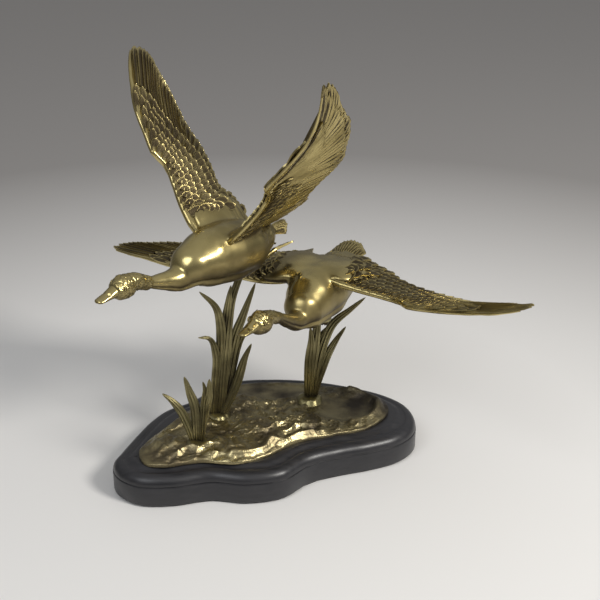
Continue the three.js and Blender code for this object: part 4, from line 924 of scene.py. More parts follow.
flightRow = {
    "start": 7.5, "rootLevel": 0.65, "fromLead": 0.9, "overlap": 1.55, "narrowest": 3.1, "roll": -0.18,
    # The tips stand closer together over the fine span
    "spacing": 5.4, "tipSpacing": 3.2, "fineSpan": (100, 134),
    # Span at the tip, then the feather's direction in degrees and its length
    "turn": [[0, 82], [20, 72], [45, 64], [58, 54], [66, 42], [77, 24], [90, 10], [104, 6], [119, 1],
             [132, -1], [143, -1]],
    "reach": [[0, 18], [20, 22], [58, 24], [70, 30], [90, 34], [119, 37], [143, 38]],
}
covertRows = {
    "spacing": 4.9, "overlap": 1.15, "roll": -0.06, "cover": 0.5, "lowest": 0.45, "rootSunk": 0.25,
    # How far above the plate the body's skin is looked for, and how far the roots keep from the rim
    "search": 11.0, "fromLead": 1.1,
    "turn": [[0, 80], [20, 72], [45, 60], [58, 44], [66, 30], [77, 14], [90, 8], [110, 3]],
    "reach": [[0, 9], [60, 9.5], [75, 12], [90, 14.5]], "width": [[0, 5.9], [58, 5.6], [70, 4.6], [95, 4]],
    # Where the coverts start beyond the body: chord, span
    "start": [[2.5, 17], [10.5, 10.5], [24, 8], [43, 24]],
    "lines": [
        [[0, 5.5], [20, 6.5], [40, 8.5], [50, 4.5]],
        [[0, 10.5], [20, 11.5], [40, 13], [54, 7.5], [62, 3]],
        [[0, 15], [20, 16], [40, 17.5], [54, 12], [64, 7], [70, 1.5]],
        [[0, 22], [20, 23], [40, 23.5], [54, 16.5], [66, 9.5], [74, 5], [79, 1.5]],
        [[0, 29], [20, 30], [40, 30], [52, 24], [62, 18], [72, 12.5], [80, 7.5], [87, 1.5]],
        [[70, 17.5], [78, 13], [86, 9], [92, 5], [94, 1.5]],
        [[0, 36], [20, 36.5], [36, 36.5], [50, 34.5], [58, 30], [64, 26], [70, 22.5], [76, 19.5], [82, 16.5],
         [88, 14.5], [93.5, 12.5], [97, 9.5], [98.5, 6], [98.5, 1.5]],
    ],
    # Broad feathers by the body: span and chord at the tip, direction, length, width
    "rootFeathers": [[15.5, 6, 88, 9, 6.5], [11.5, 12, 95, 10, 7], [9.5, 19, 98, 11, 7.5],
                     [9, 27, 100, 11, 8], [12, 34, 96, 11, 8], [17, 40, 92, 11, 7.5], [5, 36, 104, 11, 8]],
}
underRows = {
    # Long feathers, then a shorter layer that stands on them
    "layers": [{"feathers": 32, "reach": 0.94, "level": 0}, {"feathers": 46, "reach": 0.6, "level": -0.5}],
    "fromLead": 3, "overlap": 1.45, "narrowest": 2.0, "roll": -0.22, "rootSunk": 0.3, "tipLevel": -0.72,
    # Tips along the trailing line: first place, run and ease; and how much they rise toward the wing's tip
    "tipRun": (0.03, 0.95, 0.92), "tipRise": 0.25, "tipRiseSpan": (90, 140),
    "roots": [0.02, 0.12, 0.22, 0.31, 0.39, 0.46, 0.52, 0.57, 0.6],
    "coverts": [{"chord": 10.5, "to": 66}, {"chord": 15.5, "to": 60}, {"chord": 20.5, "to": 54}],
    "spacing": 4.2, "length": 9, "width": 5.4, "coverFromLead": 2.8, "coverTip": 1.2,
    "turnShift": 14,
}


def spotsOnLine(line, spacing, shift=0.0):
    spots = np.arange(spacing * (0.5 + shift), lineLength(line), spacing)
    return alongLine(line, spots)


def directed(tips, degrees, lengths):
    turn = np.radians(degrees)
    return tips - np.column_stack([np.cos(turn), np.sin(turn)]) * np.asarray(lengths)[:, None]


def flightFeathers(name, seed):
    f = flightRow
    at, tips = f["start"], []
    while at < lineLength(trailLine) - 1:
        tips.append(alongLine(trailLine, [at])[0])
        fine = easeStep(tips[-1][0], *f["fineSpan"])
        at += f["spacing"] + (f["tipSpacing"] - f["spacing"]) * fine
    # The last feather lies along the plate's front edge
    tips = np.array(tips + [trailLine[-1]])
    turn = readLine(f["turn"], tips[:, 0])
    roots = directed(tips, turn, readLine(f["reach"], tips[:, 0]))
    step = np.gradient(tips, axis=0)
    gap = np.abs(np.cos(np.radians(turn)) * step[:, 1] - np.sin(np.radians(turn)) * step[:, 0])
    lead = readLine(wingShape["lead"], roots[:, 0])
    roots[:, 1] = np.maximum(roots[:, 1], lead + f["fromLead"])
    high = np.full(len(tips), f["rootLevel"])
    wide = np.maximum(gap * f["overlap"], f["narrowest"])
    wide[-1] = f["narrowest"]
    roots, tips = np.column_stack([roots, high]), np.column_stack([tips, tips[:, 0] * 0])
    return featherRow(name, roots, tips, wide, "flight",
                      {"Seed": seed, "Length spread": 0.012, "Turn spread": 0.01, "Roll": f["roll"]})


def coverts(name, seed, bend, pose, skin):
    c = covertRows
    tips = []
    for i, line in enumerate(c["lines"]):
        spots = spotsOnLine(evenCurve(line, 200), c["spacing"], 0.5 * (i % 2))
        tips.append(spots[spots[:, 0] > readLine(c["start"], spots[:, 1]) + pose["coversFrom"]])
    tips = np.vstack(tips)
    turn, reach = readLine(c["turn"], tips[:, 0]), readLine(c["reach"], tips[:, 0])
    wide = readLine(c["width"], tips[:, 0]) * c["overlap"]
    broad = np.array(c["rootFeathers"], float) + [pose["coversFrom"], 0, 0, 0, 0]
    tips = np.vstack([tips, broad[:, :2]])
    turn, reach, wide = (np.concatenate([rows, column])
                         for rows, column in zip((turn, reach, wide), broad.T[2:]))
    roots = directed(tips, turn, reach)
    lead = readLine(wingShape["lead"], roots[:, 0])
    roots[:, 1] = np.maximum(roots[:, 1], lead + c["fromLead"])
    high, low = (coverHeight(s[:, 0], s[:, 1], bend, pose, skin) for s in (roots, tips))
    # A feather stands on the one behind it, so its tip is lifted
    low = np.maximum(low, c["lowest"]) + c["cover"]
    roots, tips = np.column_stack([roots, high - c["rootSunk"]]), np.column_stack([tips, low])
    return featherRow(name, roots, tips, wide, "scale",
                      {"Seed": seed, "Length spread": 0.04, "Turn spread": 0.05, "Roll": c["roll"]})


def underFeathers(name, seed, layer):
    w, s = underRows, wingShape
    share = (np.arange(layer["feathers"]) + 0.5) / layer["feathers"]
    span = alongNodes(w["roots"], share) * s["length"]
    first, run, ease = w["tipRun"]
    tips = alongLine(trailLine, (first + run * share ** ease) * lineLength(trailLine))
    roots = np.column_stack([span, readLine(s["lead"], span) + w["fromLead"]])
    tips = roots + (tips - roots) * layer["reach"]
    step = np.gradient(tips, axis=0)
    way = unit(tips - roots)
    gap = np.abs(way[:, 0] * step[:, 1] - way[:, 1] * step[:, 0])
    high = plateHeights(roots[:, 0], roots[:, 1])[1] + w["rootSunk"]
    low = layer["level"] + w["tipLevel"] + w["tipRise"] * easeStep(tips[:, 0], *w["tipRiseSpan"])
    return featherRow(name, np.column_stack([roots, high]), np.column_stack([tips, low]),
                      np.maximum(gap * w["overlap"], w["narrowest"]), "underLong",
                      {"Seed": seed, "Length spread": 0.05, "Turn spread": 0.02, "Roll": w["roll"]})


def underCoverts(name, seed):
    w, s = underRows, wingShape
    tips = []
    for i, row in enumerate(w["coverts"]):
        span = np.arange(4 + w["spacing"] / 2 * (i % 2), row["to"], w["spacing"])
        tips.append(np.column_stack([span, readLine(s["lead"], span) + row["chord"]]))
    tips = np.vstack(tips)
    roots = directed(tips, readLine(flightRow["turn"], tips[:, 0] + w["turnShift"]),
                     np.full(len(tips), w["length"]))
    roots[:, 1] = np.maximum(roots[:, 1], readLine(s["lead"], roots[:, 0]) + w["coverFromLead"])
    high, low = (plateHeights(p[:, 0], p[:, 1])[1] for p in (roots, tips))
    roots, tips = np.column_stack([roots, high - w["rootSunk"]]), np.column_stack([tips, low - w["coverTip"]])
    return featherRow(name, roots, tips, np.full(len(tips), w["width"]), "underScale",
                      {"Seed": seed, "Length spread": 0.16, "Turn spread": 0.2})


# Each wing has a seed of its own, and so has each kind of feather on it
wingSeeds = {"first": 11, "side": 7, "upperBird": 3, "coverts": 20, "under": 30, "underCoverts": 40}


def birdWing(bird, label, side, skin):
    pose = bird[label]
    name = f"{bird['name']}_{label}_wing"
    bend = wingBend(pose, side)
    n = wingSeeds
    seed = n["first"] + n["side"] * side + (n["upperBird"] if bird is upperBird else 0)
    wing = joinedObject(name + "_feathers", [
        wingPlate(name + "_plate"), flightFeathers(name + "_flight", seed),
        coverts(name + "_coverts", seed + n["coverts"], bend, pose, skin),
        *[underFeathers(name + "_under", seed + n["under"], layer) for layer in underRows["layers"]],
        underCoverts(name + "_under_coverts", seed + n["underCoverts"]),
    ])
    setPoints(wing, toWorld(bird, bentWing(meshPoints(wing), bend, pose)))
    if side < 0:
        wing.data.flip_normals()
    finished(wing, name, sharp=48)


# Body, head and bill

headShape = {
    "hoodFrom": -17, "hoodTo": 8, "hoodRings": 120, "hoodSides": 90, "proud": 0.4,
    "rowStep": 1.9, "columns": 15, "scaleRise": 0.34, "rough": 0.3, "roughSize": 2.2,
    # The hood swells in over this length and fades out before the bill, with a groove at either end
    "swellsOver": 0.9, "fades": (5.6, 7.6), "groove": 0.3, "grooveWidth": 0.25,
    "billGroove": 0.55, "billGrooveAt": 7.4, "billGrooveWidth": 0.7,
    # Bill, along its length: half width, height above the gape and below it
    "bill": [(0, 4.0, 3.7, 2.7), (0.15, 3.75, 3.1, 2.3), (0.4, 3.4, 2.1, 1.8), (0.7, 3.3, 1.45, 1.3),
             (1, 2.6, 1.1, 0.9)],
    "billRings": 34, "billSides": 36, "tipFrom": 0.84, "tipLength": 0.16, "tipPower": 2.2, "mouthFlat": 0.1,
    "billFrom": 6.9, "gape": 0.16, "billDroop": 0.5, "nail": 0.3, "nailAt": 0.95, "nailLength": 0.05,
    "lowerWidth": 0.86, "lowerLength": 0.94, "nostril": 0.42, "nostrilAside": 0.55, "nostrilUp": 1.6,
    "nostrilDepth": 0.7, "nostrilSize": 0.8,
    # Eye: shares of the head's height ahead and up, share of its radius that is sunk, then its lid
    "eyeAhead": 0.35, "eyeUp": 0.28, "eyeSunk": 0.6, "lidOut": 0.75, "lidRadius": 1.75, "lidThickness": 0.5,
}


def melted(name, parts, voxel):
    # Overlapping closed skins made into one
    points, faces = stacked(parts)
    source = meshObject(name, points, faces)
    melt = source.modifiers.new("melt", "REMESH")
    melt.mode, melt.voxel_size = "VOXEL", voxel
    return madeReal(source, name)


def relaxed(points, edges, amount, rounds):
    # Draws each point toward the middle of its neighbours
    count = np.maximum(np.bincount(edges.ravel(), minlength=len(points)), 1)
    start, end = edges.T
    for _ in range(rounds):
        total = np.column_stack([np.bincount(start, points[end, k], len(points))
                                 + np.bincount(end, points[start, k], len(points)) for k in range(3)])
        points = points + (total / count[:, None] - points) * amount[:, None]
    return points


scaleShape = {"swept": 0.45, "slope": 0.8, "rounded": 0.55}


def scalePattern(row, column):
    # 1 at the root of each scale, falling to 0 at its rounded tip, in staggered rows
    column = column + 0.5 * (np.floor(row) % 2)
    aside = np.abs((column % 1) - 0.5) * 2
    inRow = (row + scaleShape["swept"] * aside) % 1
    return (1 - inRow) ** scaleShape["slope"] * (1 - scaleShape["rounded"] * aside ** 2)


def hood(bird):
    # A textured skin over the head and the upper neck, with a small step at its start
    h = headShape
    count, sides = h["hoodRings"], h["hoodSides"]
    way = headFrame(bird)[0]
    dense = np.linspace(0.4, 1, 900)
    ahead = (bodyRings(bird, dense, 4)[1] - np.array(bird["head"])) @ way
    shares = dense[(ahead > h["hoodFrom"]) & (ahead < h["hoodTo"])]
    shares = np.interp(np.linspace(0, 1, count), np.linspace(0, 1, len(shares)), shares)
    rings, path, _ = bodyRings(bird, shares, sides)
    ahead = (path - np.array(bird["head"])) @ way
    travel = np.concatenate([[0], np.cumsum(np.linalg.norm(np.diff(path, axis=0), axis=1))])
    outwards = unit(rings - path[:, None])
    turn = np.linspace(0, 1, sides, endpoint=False)
    scales = scalePattern(*np.broadcast_arrays(-travel[:, None] / h["rowStep"], turn * h["columns"]))
    bumps = softNoise(rings.reshape(-1, 3), h["roughSize"], 4, 3).reshape(count, sides)
    cover = easeStep(travel, 0, h["swellsOver"]) * (1 - easeStep(ahead, *h["fades"]))
    skin = (h["proud"] * cover - h["groove"] * hump(travel, h["grooveWidth"])
            - h["billGroove"] * hump(ahead - h["billGrooveAt"], h["billGrooveWidth"]))
    relief = cover[:, None] * (h["scaleRise"] * scales + h["rough"] * bumps)
    return loft(rings + outwards * (skin[:, None] + relief)[..., None])


def bill(bird):
    # Upper and lower halves with a gap for the mouth, nostrils, and a nail at the tip
    h, s = headShape, birdShape
    way, side, up = headFrame(bird)
    reach = np.linspace(0, 1, h["billRings"])
    turn = fullTurn(h["billSides"])
    full = s["headHeight"] + s["brow"] + s["billLength"] - h["billFrom"]
    base = np.array(bird["head"]) + way * h["billFrom"]
    table = np.array(h["bill"])
    tip = np.clip((reach - h["tipFrom"]) / h["tipLength"], 0, 1)
    tipRound = np.sqrt(np.maximum(1 - tip ** h["tipPower"], 0.01))
    wide, above, below = (np.interp(reach, table[:, 0], table[:, k]) * tipRound for k in (1, 2, 3))
    parts = []
    for upper in (True, False):
        tall = above + h["nail"] * hump(reach - h["nailAt"], h["nailLength"]) if upper else below
        half = wide if upper else wide * h["lowerWidth"]
        flat = np.sin(turn) * np.where((np.sin(turn) > 0) == upper, 1, h["mouthFlat"])
        length = full if upper else full * h["lowerLength"]
        level = h["gape"] * (1 if upper else -1) - h["billDroop"] * reach
        spine = base + way * (reach * length)[:, None] + up * level[:, None]
        rings = (spine[:, None] + side * (half[:, None] * np.cos(turn))[..., None]
                 + up * (tall[:, None] * flat)[..., None])
        if upper:
            for flank in (1, -1):
                nostril = (base + way * full * h["nostril"]
                           + side * flank * s["billWidth"] * h["nostrilAside"] + up * h["nostrilUp"])
                dent = h["nostrilDepth"] * hump(np.linalg.norm(rings - nostril, axis=-1), h["nostrilSize"])
                rings = rings - up * dent[..., None]
        parts.append(loft(rings))
    return parts


def eyes(bird):
    # An eyeball on each side of the head, with a lid like a ring around it
    s, h = birdShape, headShape
    way, side, up = headFrame(bird)
    steps, sides = 32, 8
    turn = fullTurn(steps)
    small = fullTurn(sides)
    faces = [(i * sides + j, i * sides + (j + 1) % sides,
              (i + 1) % steps * sides + (j + 1) % sides, (i + 1) % steps * sides + j)
             for i in range(steps) for j in range(sides)]
    parts = []
    for flank in (1, -1):
        outwards = side * flank
        centre = (np.array(bird["head"]) + way * s["headHeight"] * h["eyeAhead"]
                  + outwards * (s["headWidth"] - s["eye"] * h["eyeSunk"])
                  + np.array([0, 0, s["headHeight"] * h["eyeUp"]]))
        parts.append(ball(centre, np.eye(3) * s["eye"]))
        spoke = way * np.cos(turn)[:, None] + up * np.sin(turn)[:, None] * 0.85
        lid = centre + outwards * h["lidOut"] + spoke * h["lidRadius"]
        rings = lid[:, None] + h["lidThickness"] * (unit(spoke)[:, None] * np.cos(small)[None, :, None]
                                                    + outwards * np.sin(small)[None, :, None])
        parts.append((rings.reshape(-1, 3), faces))
    return parts


bodyFinish = {
    "voxel": 0.62, "overall": 3, "fillet": 60, "filletReach": 0.34, "waves": 0.2, "waveSize": 8,
    "filletStrength": 0.9, "rumpScale": 0.5, "rumpRow": 4.4, "rumpColumn": 0.36,
    # The rump's small feathers: first row, the axis that they go round, where they fade in behind and above
    "rumpStart": -40, "rumpAxis": -6, "rumpBehind": (10, 18), "rumpAbove": (-1, 5),
    # The crease along the breast and neck: reach along the body, ease in and out, angle, width and depth
    "crease": (-14, 66), "creaseEase": (14, 10), "creaseTurn": -0.62, "creaseWidth": 0.13, "creaseDepth": 1.1,
    # The lip below it: how far round, its width and its share of the depth; a slim neck has less of both
    "lipTurn": 0.25, "lipWidth": 0.14, "lip": 0.5, "fullFrom": 9,
}


def bodySkin(bird):
    # Body, neck and the fairings of both wings, melted together with soft fillets
    f = bodyFinish
    dense = np.linspace(0, 1, 400)
    rings, path, _ = bodyRings(bird, dense, closeSides)
    ahead = (path - np.array(bird["head"])) @ headFrame(bird)[0]
    rings = rings[ahead < 3]
    fairings = [fairingFrame(bird[label], side) for label, side in (("left", 1), ("right", -1))]
    swellings = [ball(*fairing, 24, 40) for fairing in fairings]
    obj = melted(bird["name"] + "_skin", [loft(rings), *swellings], f["voxel"])
    points = meshPoints(obj)
    edges = np.zeros(len(obj.data.edges) * 2, int)
    obj.data.edges.foreach_get("vertices", edges)
    edges = edges.reshape(-1, 2)
    points = relaxed(points, edges, np.full(len(points), 0.5), f["overall"])
    near = np.max([hump(fromFairing(points, fairing) - 1, f["filletReach"]) for fairing in fairings], axis=0)
    points = relaxed(points, edges, near * f["filletStrength"], f["fillet"])
    setPoints(obj, points)
    normals = np.zeros(len(points) * 3)
    obj.data.vertices.foreach_get("normal", normals)
    normals = normals.reshape(-1, 3)
    waves = f["waves"] * softNoise(points, f["waveSize"], 6, 2)
    # Small feathers on the rump, ahead of the tail
    around = np.arctan2(points[:, 1], points[:, 2] - f["rumpAxis"])
    onRump = easeStep(-points[:, 0], *f["rumpBehind"]) * easeStep(points[:, 2], *f["rumpAbove"])
    scales = scalePattern((points[:, 0] - f["rumpStart"]) / -f["rumpRow"], around / f["rumpColumn"])
    rump = f["rumpScale"] * onRump * scales
    middle, half = bodyRings(bird, dense, 4)[1:]
    order = np.argsort(middle[:, 0])
    level, wide, deep = (np.interp(points[:, 0], middle[order, 0], line[order])
                         for line in (middle[:, 2], half[:, 0], half[:, 2]))
    turn = np.arctan2((points[:, 2] - level) / deep, np.abs(points[:, 1]) / wide)
    (start, end), (easeIn, easeOut) = f["crease"], f["creaseEase"]
    ends = easeStep(points[:, 0], start, start + easeIn), easeStep(points[:, 0], end - easeOut, end)
    alongCrease = ends[0] * (1 - ends[1])
    off = turn - f["creaseTurn"]
    crease = hump(off, f["creaseWidth"]) - f["lip"] * hump(off + f["lipTurn"], f["lipWidth"])
    crease = -f["creaseDepth"] * alongCrease * np.minimum(deep / f["fullFrom"], 1) * crease
    setPoints(obj, points + normals * (waves + rump + crease)[:, None])
    return obj


def birdBody(bird):
    # Also gives the skin's search tree, so that feathers can lie on it
    skin = bodySkin(bird)
    tree = BVHTree.FromPolygons(meshPoints(skin).tolist(), [tuple(p.vertices) for p in skin.data.polygons])
    low, at = bellyLevel(bird), bird["saddleForward"]
    radius, rise = birdShape["saddleRadius"], birdShape["boss"]
    profile = [(radius + 0.9, 3), (radius + 0.3, 0.5), (radius, -rise + 0.3), (radius - 0.3, -rise)]
    boss = loft(turned([(r, low + z) for r, z in profile], (at, 0), hiddenSides))
    points, faces = stacked([boss, hood(bird), *bill(bird), *eyes(bird)])
    obj = joinedObject(bird["name"] + "_casting", [skin, meshObject("details", points, faces)])
    setPoints(obj, toWorld(bird, meshPoints(obj)))
    finished(painted(obj, polishedBrass), bird["name"] + "_body", sharp=60)
    return tree


# Tail fan

tailShape = {"overlap": 2.6, "feathers": 11, "lift": 14, "rootRise": 3, "seat": 3, "crown": 2.4,
             "rounding": 0.22, "inside": 7}


def birdTail(bird):
    t, tail = tailShape, bird["tail"]
    across = np.linspace(-1, 1, t["feathers"])
    angle = np.radians(tail["spread"]) * across
    roots = np.column_stack([tail["rootWidth"] / 2 * across, across * 0, 0.12 * (1 - np.abs(across))])
    reach = tail["length"] * (1 - t["rounding"] * across ** 2)
    tips = roots + np.column_stack([np.sin(angle) * reach, np.cos(angle) * reach, reach * 0])
    roots = roots - unit(tips - roots) * t["inside"]
    gap = (tail["rootWidth"] + 2 * tail["length"] * math.sin(math.radians(tail["spread"]))) / t["feathers"]
    wide = np.full(t["feathers"], gap * t["overlap"])
    obj = featherRow(bird["name"] + "_tail_fan", roots, tips, wide, "tail",
                     {"Seed": 4, "Length spread": 0.02})
    flat = meshPoints(obj)
    along = np.clip(flat[:, 1] / tail["length"], 0, 1.1)
    full = tail["rootWidth"] / 2 + np.maximum(flat[:, 1], 0) * math.tan(math.radians(tail["spread"]))
    drop = tail["arch"] * along * np.clip(flat[:, 0] / full, -1.2, 1.2) ** 2
    rise = flat[:, 1] * math.tan(math.radians(t["lift"])) - drop + flat[:, 2]
    rise = t["rootRise"] + (rise + t["crown"] * along * (1 - along))
    back = t["seat"] - birdShape["bodyBack"] - flat[:, 1]
    setPoints(obj, toWorld(bird, np.column_stack([back, flat[:, 0], rise])))
    finished(obj, bird["name"] + "_tail", sharp=48)


# Legs and webbed feet

footShape = {
    "start": [-17.5, 6.48, -11.47], "length": 15, "rise": 5, "spread": 1.1, "radius": 1.5, "socket": 5,
    "web": 13.2, "fan": 0.47, "thickness": 1.1, "toeRise": 1.5, "roll": 0.5, "pitch": 0.12, "ahead": 1,
    # Toes: place and width over the fan, knuckles; then how far the web's edge draws in between them
    "toes": (0, 0.93, -0.93), "toeWidth": 0.11, "knuckle": 0.16, "webDraw": 0.14, "heel": 0.9,
    "legTaper": 0.2, "ankle": 0.35, "ankleLength": 1.6, "toeTaper": 0.55, "webBack": 0.8, "webThins": 0.3,
}


def birdFoot(bird, label, side):
    f = footShape
    start = np.array(f["start"]) * [1, side, 1]
    end = start + [-f["length"], start[1] * (f["spread"] - 1), f["rise"]]
    way, full = unit(end - start), float(np.linalg.norm(end - start))
    travel = np.linspace(-f["socket"], full, 30)
    radii = f["radius"] * (1 - f["legTaper"] * easeStep(travel, 0, full))
    radii = radii + f["ankle"] * hump(travel - full, f["ankleLength"])
    parts = [loft(tubeRings(start + way * travel[:, None], radii, 20))]
    fan, grow = np.linspace(-1, 1, 45), np.linspace(0, 1, 16)
    ridge = sum(hump(fan - toe, f["toeWidth"]) for toe in f["toes"])
    edge = f["web"] * (1 - f["webDraw"] + f["webDraw"] * ridge) + f["heel"]
    radial = -f["heel"] + grow[:, None] * edge[None]
    knuckles = 1 + f["knuckle"] * np.cos(grow * 6 * math.pi)
    flatX, flatY = -radial * np.cos(fan * f["fan"]), radial * np.sin(fan * f["fan"])
    toes = f["toeRise"] / 2 * ridge * ((1 - f["toeTaper"] * grow) * knuckles)[:, None]
    thick = f["thickness"] / 2 * (f["webBack"] - f["webThins"] * grow[:, None]) + toes
    over, under = (np.stack([flatX, flatY, level], -1) for level in (thick, -thick * 0.8))
    points, faces, _ = twoSided(over, under)
    tilt = np.array(Euler((side * f["roll"], f["pitch"], 0), "XYZ").to_matrix())
    parts.append((points @ tilt.T + end + np.array([f["ahead"], 0, 0]), faces))
    points, faces = stacked(parts)
    obj = meshObject(f"{bird['name']}_{label}_webbed_foot", toWorld(bird, points), faces)
    finished(painted(obj, polishedBrass), f"{bird['name']}_{label}_foot", sharp=50)


# Belly screws with slotted cheese heads

screwShape = {"shank": 1.5, "head": 3, "headHeight": 2.2, "bite": 7, "slot": 0.55, "slotDepth": 0.8,
              "gap": 0.3, "saddle": 2.2}


def bellyScrew(bird):
    c = screwShape
    shank, head, tall = c["shank"], c["head"], c["headHeight"]
    low, at = bellyLevel(bird), bird["saddleForward"]
    headTop = low - birdShape["boss"] - c["gap"] - c["saddle"] - c["gap"]
    top = low + c["bite"] - headTop
    # Radius and height from the screw's end, past the shank, to the head's slotted face
    profile = [(0.3, top), (shank - 0.3, top - 0.2), (shank, top - 0.6), (shank, 0), (head - 0.1, 0),
               (head, -0.2), (head * 0.94, -1.2), (head * 0.75, -tall + 0.1), (head * 0.7, -tall),
               (head * 0.35, -tall), (0.2, -tall)]
    rings = turned([(r, headTop + z) for r, z in profile], (at, 0), closeSides)
    inSlot = (np.abs(rings[..., 1]) < c["slot"]) & (rings[..., 2] < headTop - tall * 0.85)
    rings[inSlot, 2] += c["slotDepth"]
    points, faces = loft(rings)
    obj = meshObject(bird["name"] + "_saddle_screw", toWorld(bird, points), outward(points, faces))
    finished(painted(obj, polishedBrass), bird["name"] + "_belly_screw", sharp=35)


for bird in (upperBird, lowerBird):
    skin = birdBody(bird)
    birdTail(bird)
    bellyScrew(bird)
    for label, side in (("left", 1), ("right", -1)):
        birdWing(bird, label, side, skin)
        birdFoot(bird, label, side)
    print(bird["name"], "made")


# Plinth

plinthShape = {
    "felt": 1, "thickness": 20, "wall": 12, "chamfer": 0.8, "groove": 0.9, "grooveHeight": 0.8,
    "beadInset": 6.4, "beadHeight": 5.6, "step": 0.6, "ogeeInset": 12.5,
    "counterbore": 8, "counterboreDepth": 8, "bore": 2.8, "sides": 300,
    "outline": [
        [-86.5, -48], [-83.5, -37], [-77, -18], [-70, -1], [-62, 11], [-49, 21], [-37, 35], [-20, 48.5],
        [4, 51.5], [28, 49.5], [55, 41.5], [77, 30.5], [90, 17.5], [94.5, 2], [92, -12], [83, -23],
        [66, -31.5], [46, -38], [29, -45.5], [13, -61], [-8, -66], [-28, -63.4], [-50, -68.5], [-69, -68],
        [-82, -59]],
}
plinthTop = plinthShape["felt"] + plinthShape["thickness"]
clampPlaces = {"tall_reeds": [-27.8, -10], "front_reeds": [-37.4, -41], "right_reeds": [28.9, 11.1]}


def drawnIn(outline, inset):
    step = np.roll(outline, -1, 0) - np.roll(outline, 1, 0)
    inwards = unit(np.column_stack([-step[:, 1], step[:, 0]]))
    nextPoint = np.roll(outline, -1, 0)
    area = np.sum(outline[:, 0] * nextPoint[:, 1] - nextPoint[:, 0] * outline[:, 1])
    return outline + inwards * math.copysign(1, area) * inset


def plinthPiece():
    p = plinthShape
    sides = p["sides"]
    outline = evenCurve(p["outline"], sides, closed=True)
    low, wallTop = p["felt"], p["felt"] + p["wall"]
    grooveTop = wallTop + p["grooveHeight"]
    beadTop = grooveTop + p["beadHeight"]
    # Inset and height of each level, from the foot up
    levels = [(p["chamfer"] + 3, low), (p["chamfer"], low), (p["chamfer"] * 0.35, low + 0.25),
              (0, low + p["chamfer"])]
    levels += [(0, wallTop - 0.5), (0.12, wallTop - 0.12), (p["groove"] * 0.7, wallTop + 0.12),
               (p["groove"], wallTop + 0.4), (p["groove"] * 0.6, grooveTop - 0.05)]
    start = p["groove"] / 3
    for angle in np.linspace(0, math.pi / 2, 14):
        levels.append((start + (p["beadInset"] - start) * (1 - math.cos(angle)),
                       grooveTop + p["beadHeight"] * math.sin(angle)))
    ogeeStart = p["beadInset"] + p["step"]
    levels.append((ogeeStart - 0.1, beadTop - 0.25))
    for share in np.linspace(0, 1, 14):
        levels.append((ogeeStart + 0.1 + (p["ogeeInset"] - ogeeStart - 0.1) * share,
                       beadTop - 0.25 + (plinthTop - beadTop + 0.25) * (1 - math.cos(share * math.pi)) / 2))
    levels.append((p["ogeeInset"] + 2, plinthTop))
    rings = [np.column_stack([drawnIn(outline, inset), np.full(sides, height)]) for inset, height in levels]
    faces = gridFaces(len(rings), sides)
    faces.append(tuple(range(sides))[::-1])
    faces.append(tuple(range((len(rings) - 1) * sides, len(rings) * sides)))
    points = np.vstack(rings) * mm
    obj = meshObject("lacquered_plinth", points, outward(points, faces))
    # One stepped hole for each clamp screw
    depth = low + p["counterboreDepth"]
    profile = [(0.2, low - 1), (p["counterbore"], low - 1), (p["counterbore"], depth), (p["bore"], depth),
               (p["bore"], plinthTop + 1), (0.2, plinthTop + 1)]
    cutPoints, cutFaces = stacked([loft(turned(profile, at, hiddenSides)) for at in clampPlaces.values()])
    cutter = meshObject("cutter", cutPoints * mm, cutFaces)
    cut = obj.modifiers.new("bores", "BOOLEAN")
    cut.operation, cut.solver, cut.object = "DIFFERENCE", "EXACT", cutter
    obj = painted(madeReal(obj, obj.name), blackLacquer)
    bpy.data.objects.remove(cutter)
    finished(obj, "plinth", sharp=38)


plinthPiece()
carriedOver = [("felt_pad", blackFelt, "black_felt")]
carriedOver += [(f"{clump}_{part}", screwSteel, "screw_steel")
                for clump in clampPlaces for part in ("screw", "washer")]
for nodeName, material, slotName in carriedOver:
    painted(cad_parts[nodeName], material)
print("plinth made")


# Ground plate

groundShape = {
    "edge": 1.6, "floor": 3, "centre": [0, -8], "cragHeight": 0.95, "poolDepth": 0.9,
    # Crests of the crags: waves for a millimetre along x and y, and a shift
    "crests": [(0.33, 0.12, 0), (-0.16, 0.29, 0.8), (0.21, -0.27, 2.1)], "cragLevel": 1.1,
    "chips": 0.5, "chipSize": 2.4, "grit": 0.2, "gritSize": 0.9,
    "outline": [
        [-71, -45], [-66, -57], [-56, -59.5], [-34, -54.5], [-13, -56], [3, -49], [21, -34],
        [42, -26], [63, -18], [76, -3], [77, 9], [70, 20], [56, 27.5], [34, 34], [8, 37.5], [-14, 34.5],
        [-30, 22], [-43, 6], [-53, -9], [-60, -21], [-68, -35]],
    # Banks: middle, reach and rise; pools: middle and reach
    "banks": [
        ([-50, -42], [17, 12], 4.2), ([-24, -41], [15, 10], 3.4), ([-36, -17], [11, 15], 4.4),
        ([-4, -22], [17, 12], 4.8), ([24, -14], [16, 9], 3.6), ([-16, 6], [13, 12], 4.6),
        ([30, 13], [11, 9], 4.2), ([5.6, -38], [5, 4], 2.6), ([72, 6], [5, 15], 3.4),
        ([55, 22], [14, 6], 2.4)],
    "pools": [([2, 24], [30, 10]), ([50, 2], [19, 15]), ([-46, -27], [9, 7])],
    # Rolled banks: path, width and rise
    "rolls": [([[-16, -50], [-6, -48.5], [2, -44], [6, -38.5], [15, -36.5], [22, -30.5], [30, -27.5]],
               2.6, 2.6),
              ([[54, -14], [66, -7], [71.5, 2], [70.5, 11], [63, 18], [54, 22]], 2.8, 2.4)],
    "bankFall": 1.1, "poolEdge": (0.6, 1.3), "chipsFrom": 0.35, "gritInPools": 0.35,
    # Rounded edge: shares of the outline that get a ring, then the rise over three of them
    "lowest": 0.8, "edgeShares": [1, 1, 0.997, 0.99], "edgeRise": ([0.9, 0.99, 1], [1, 0.25, 0]),
    "rings": 130, "sides": 420,
}


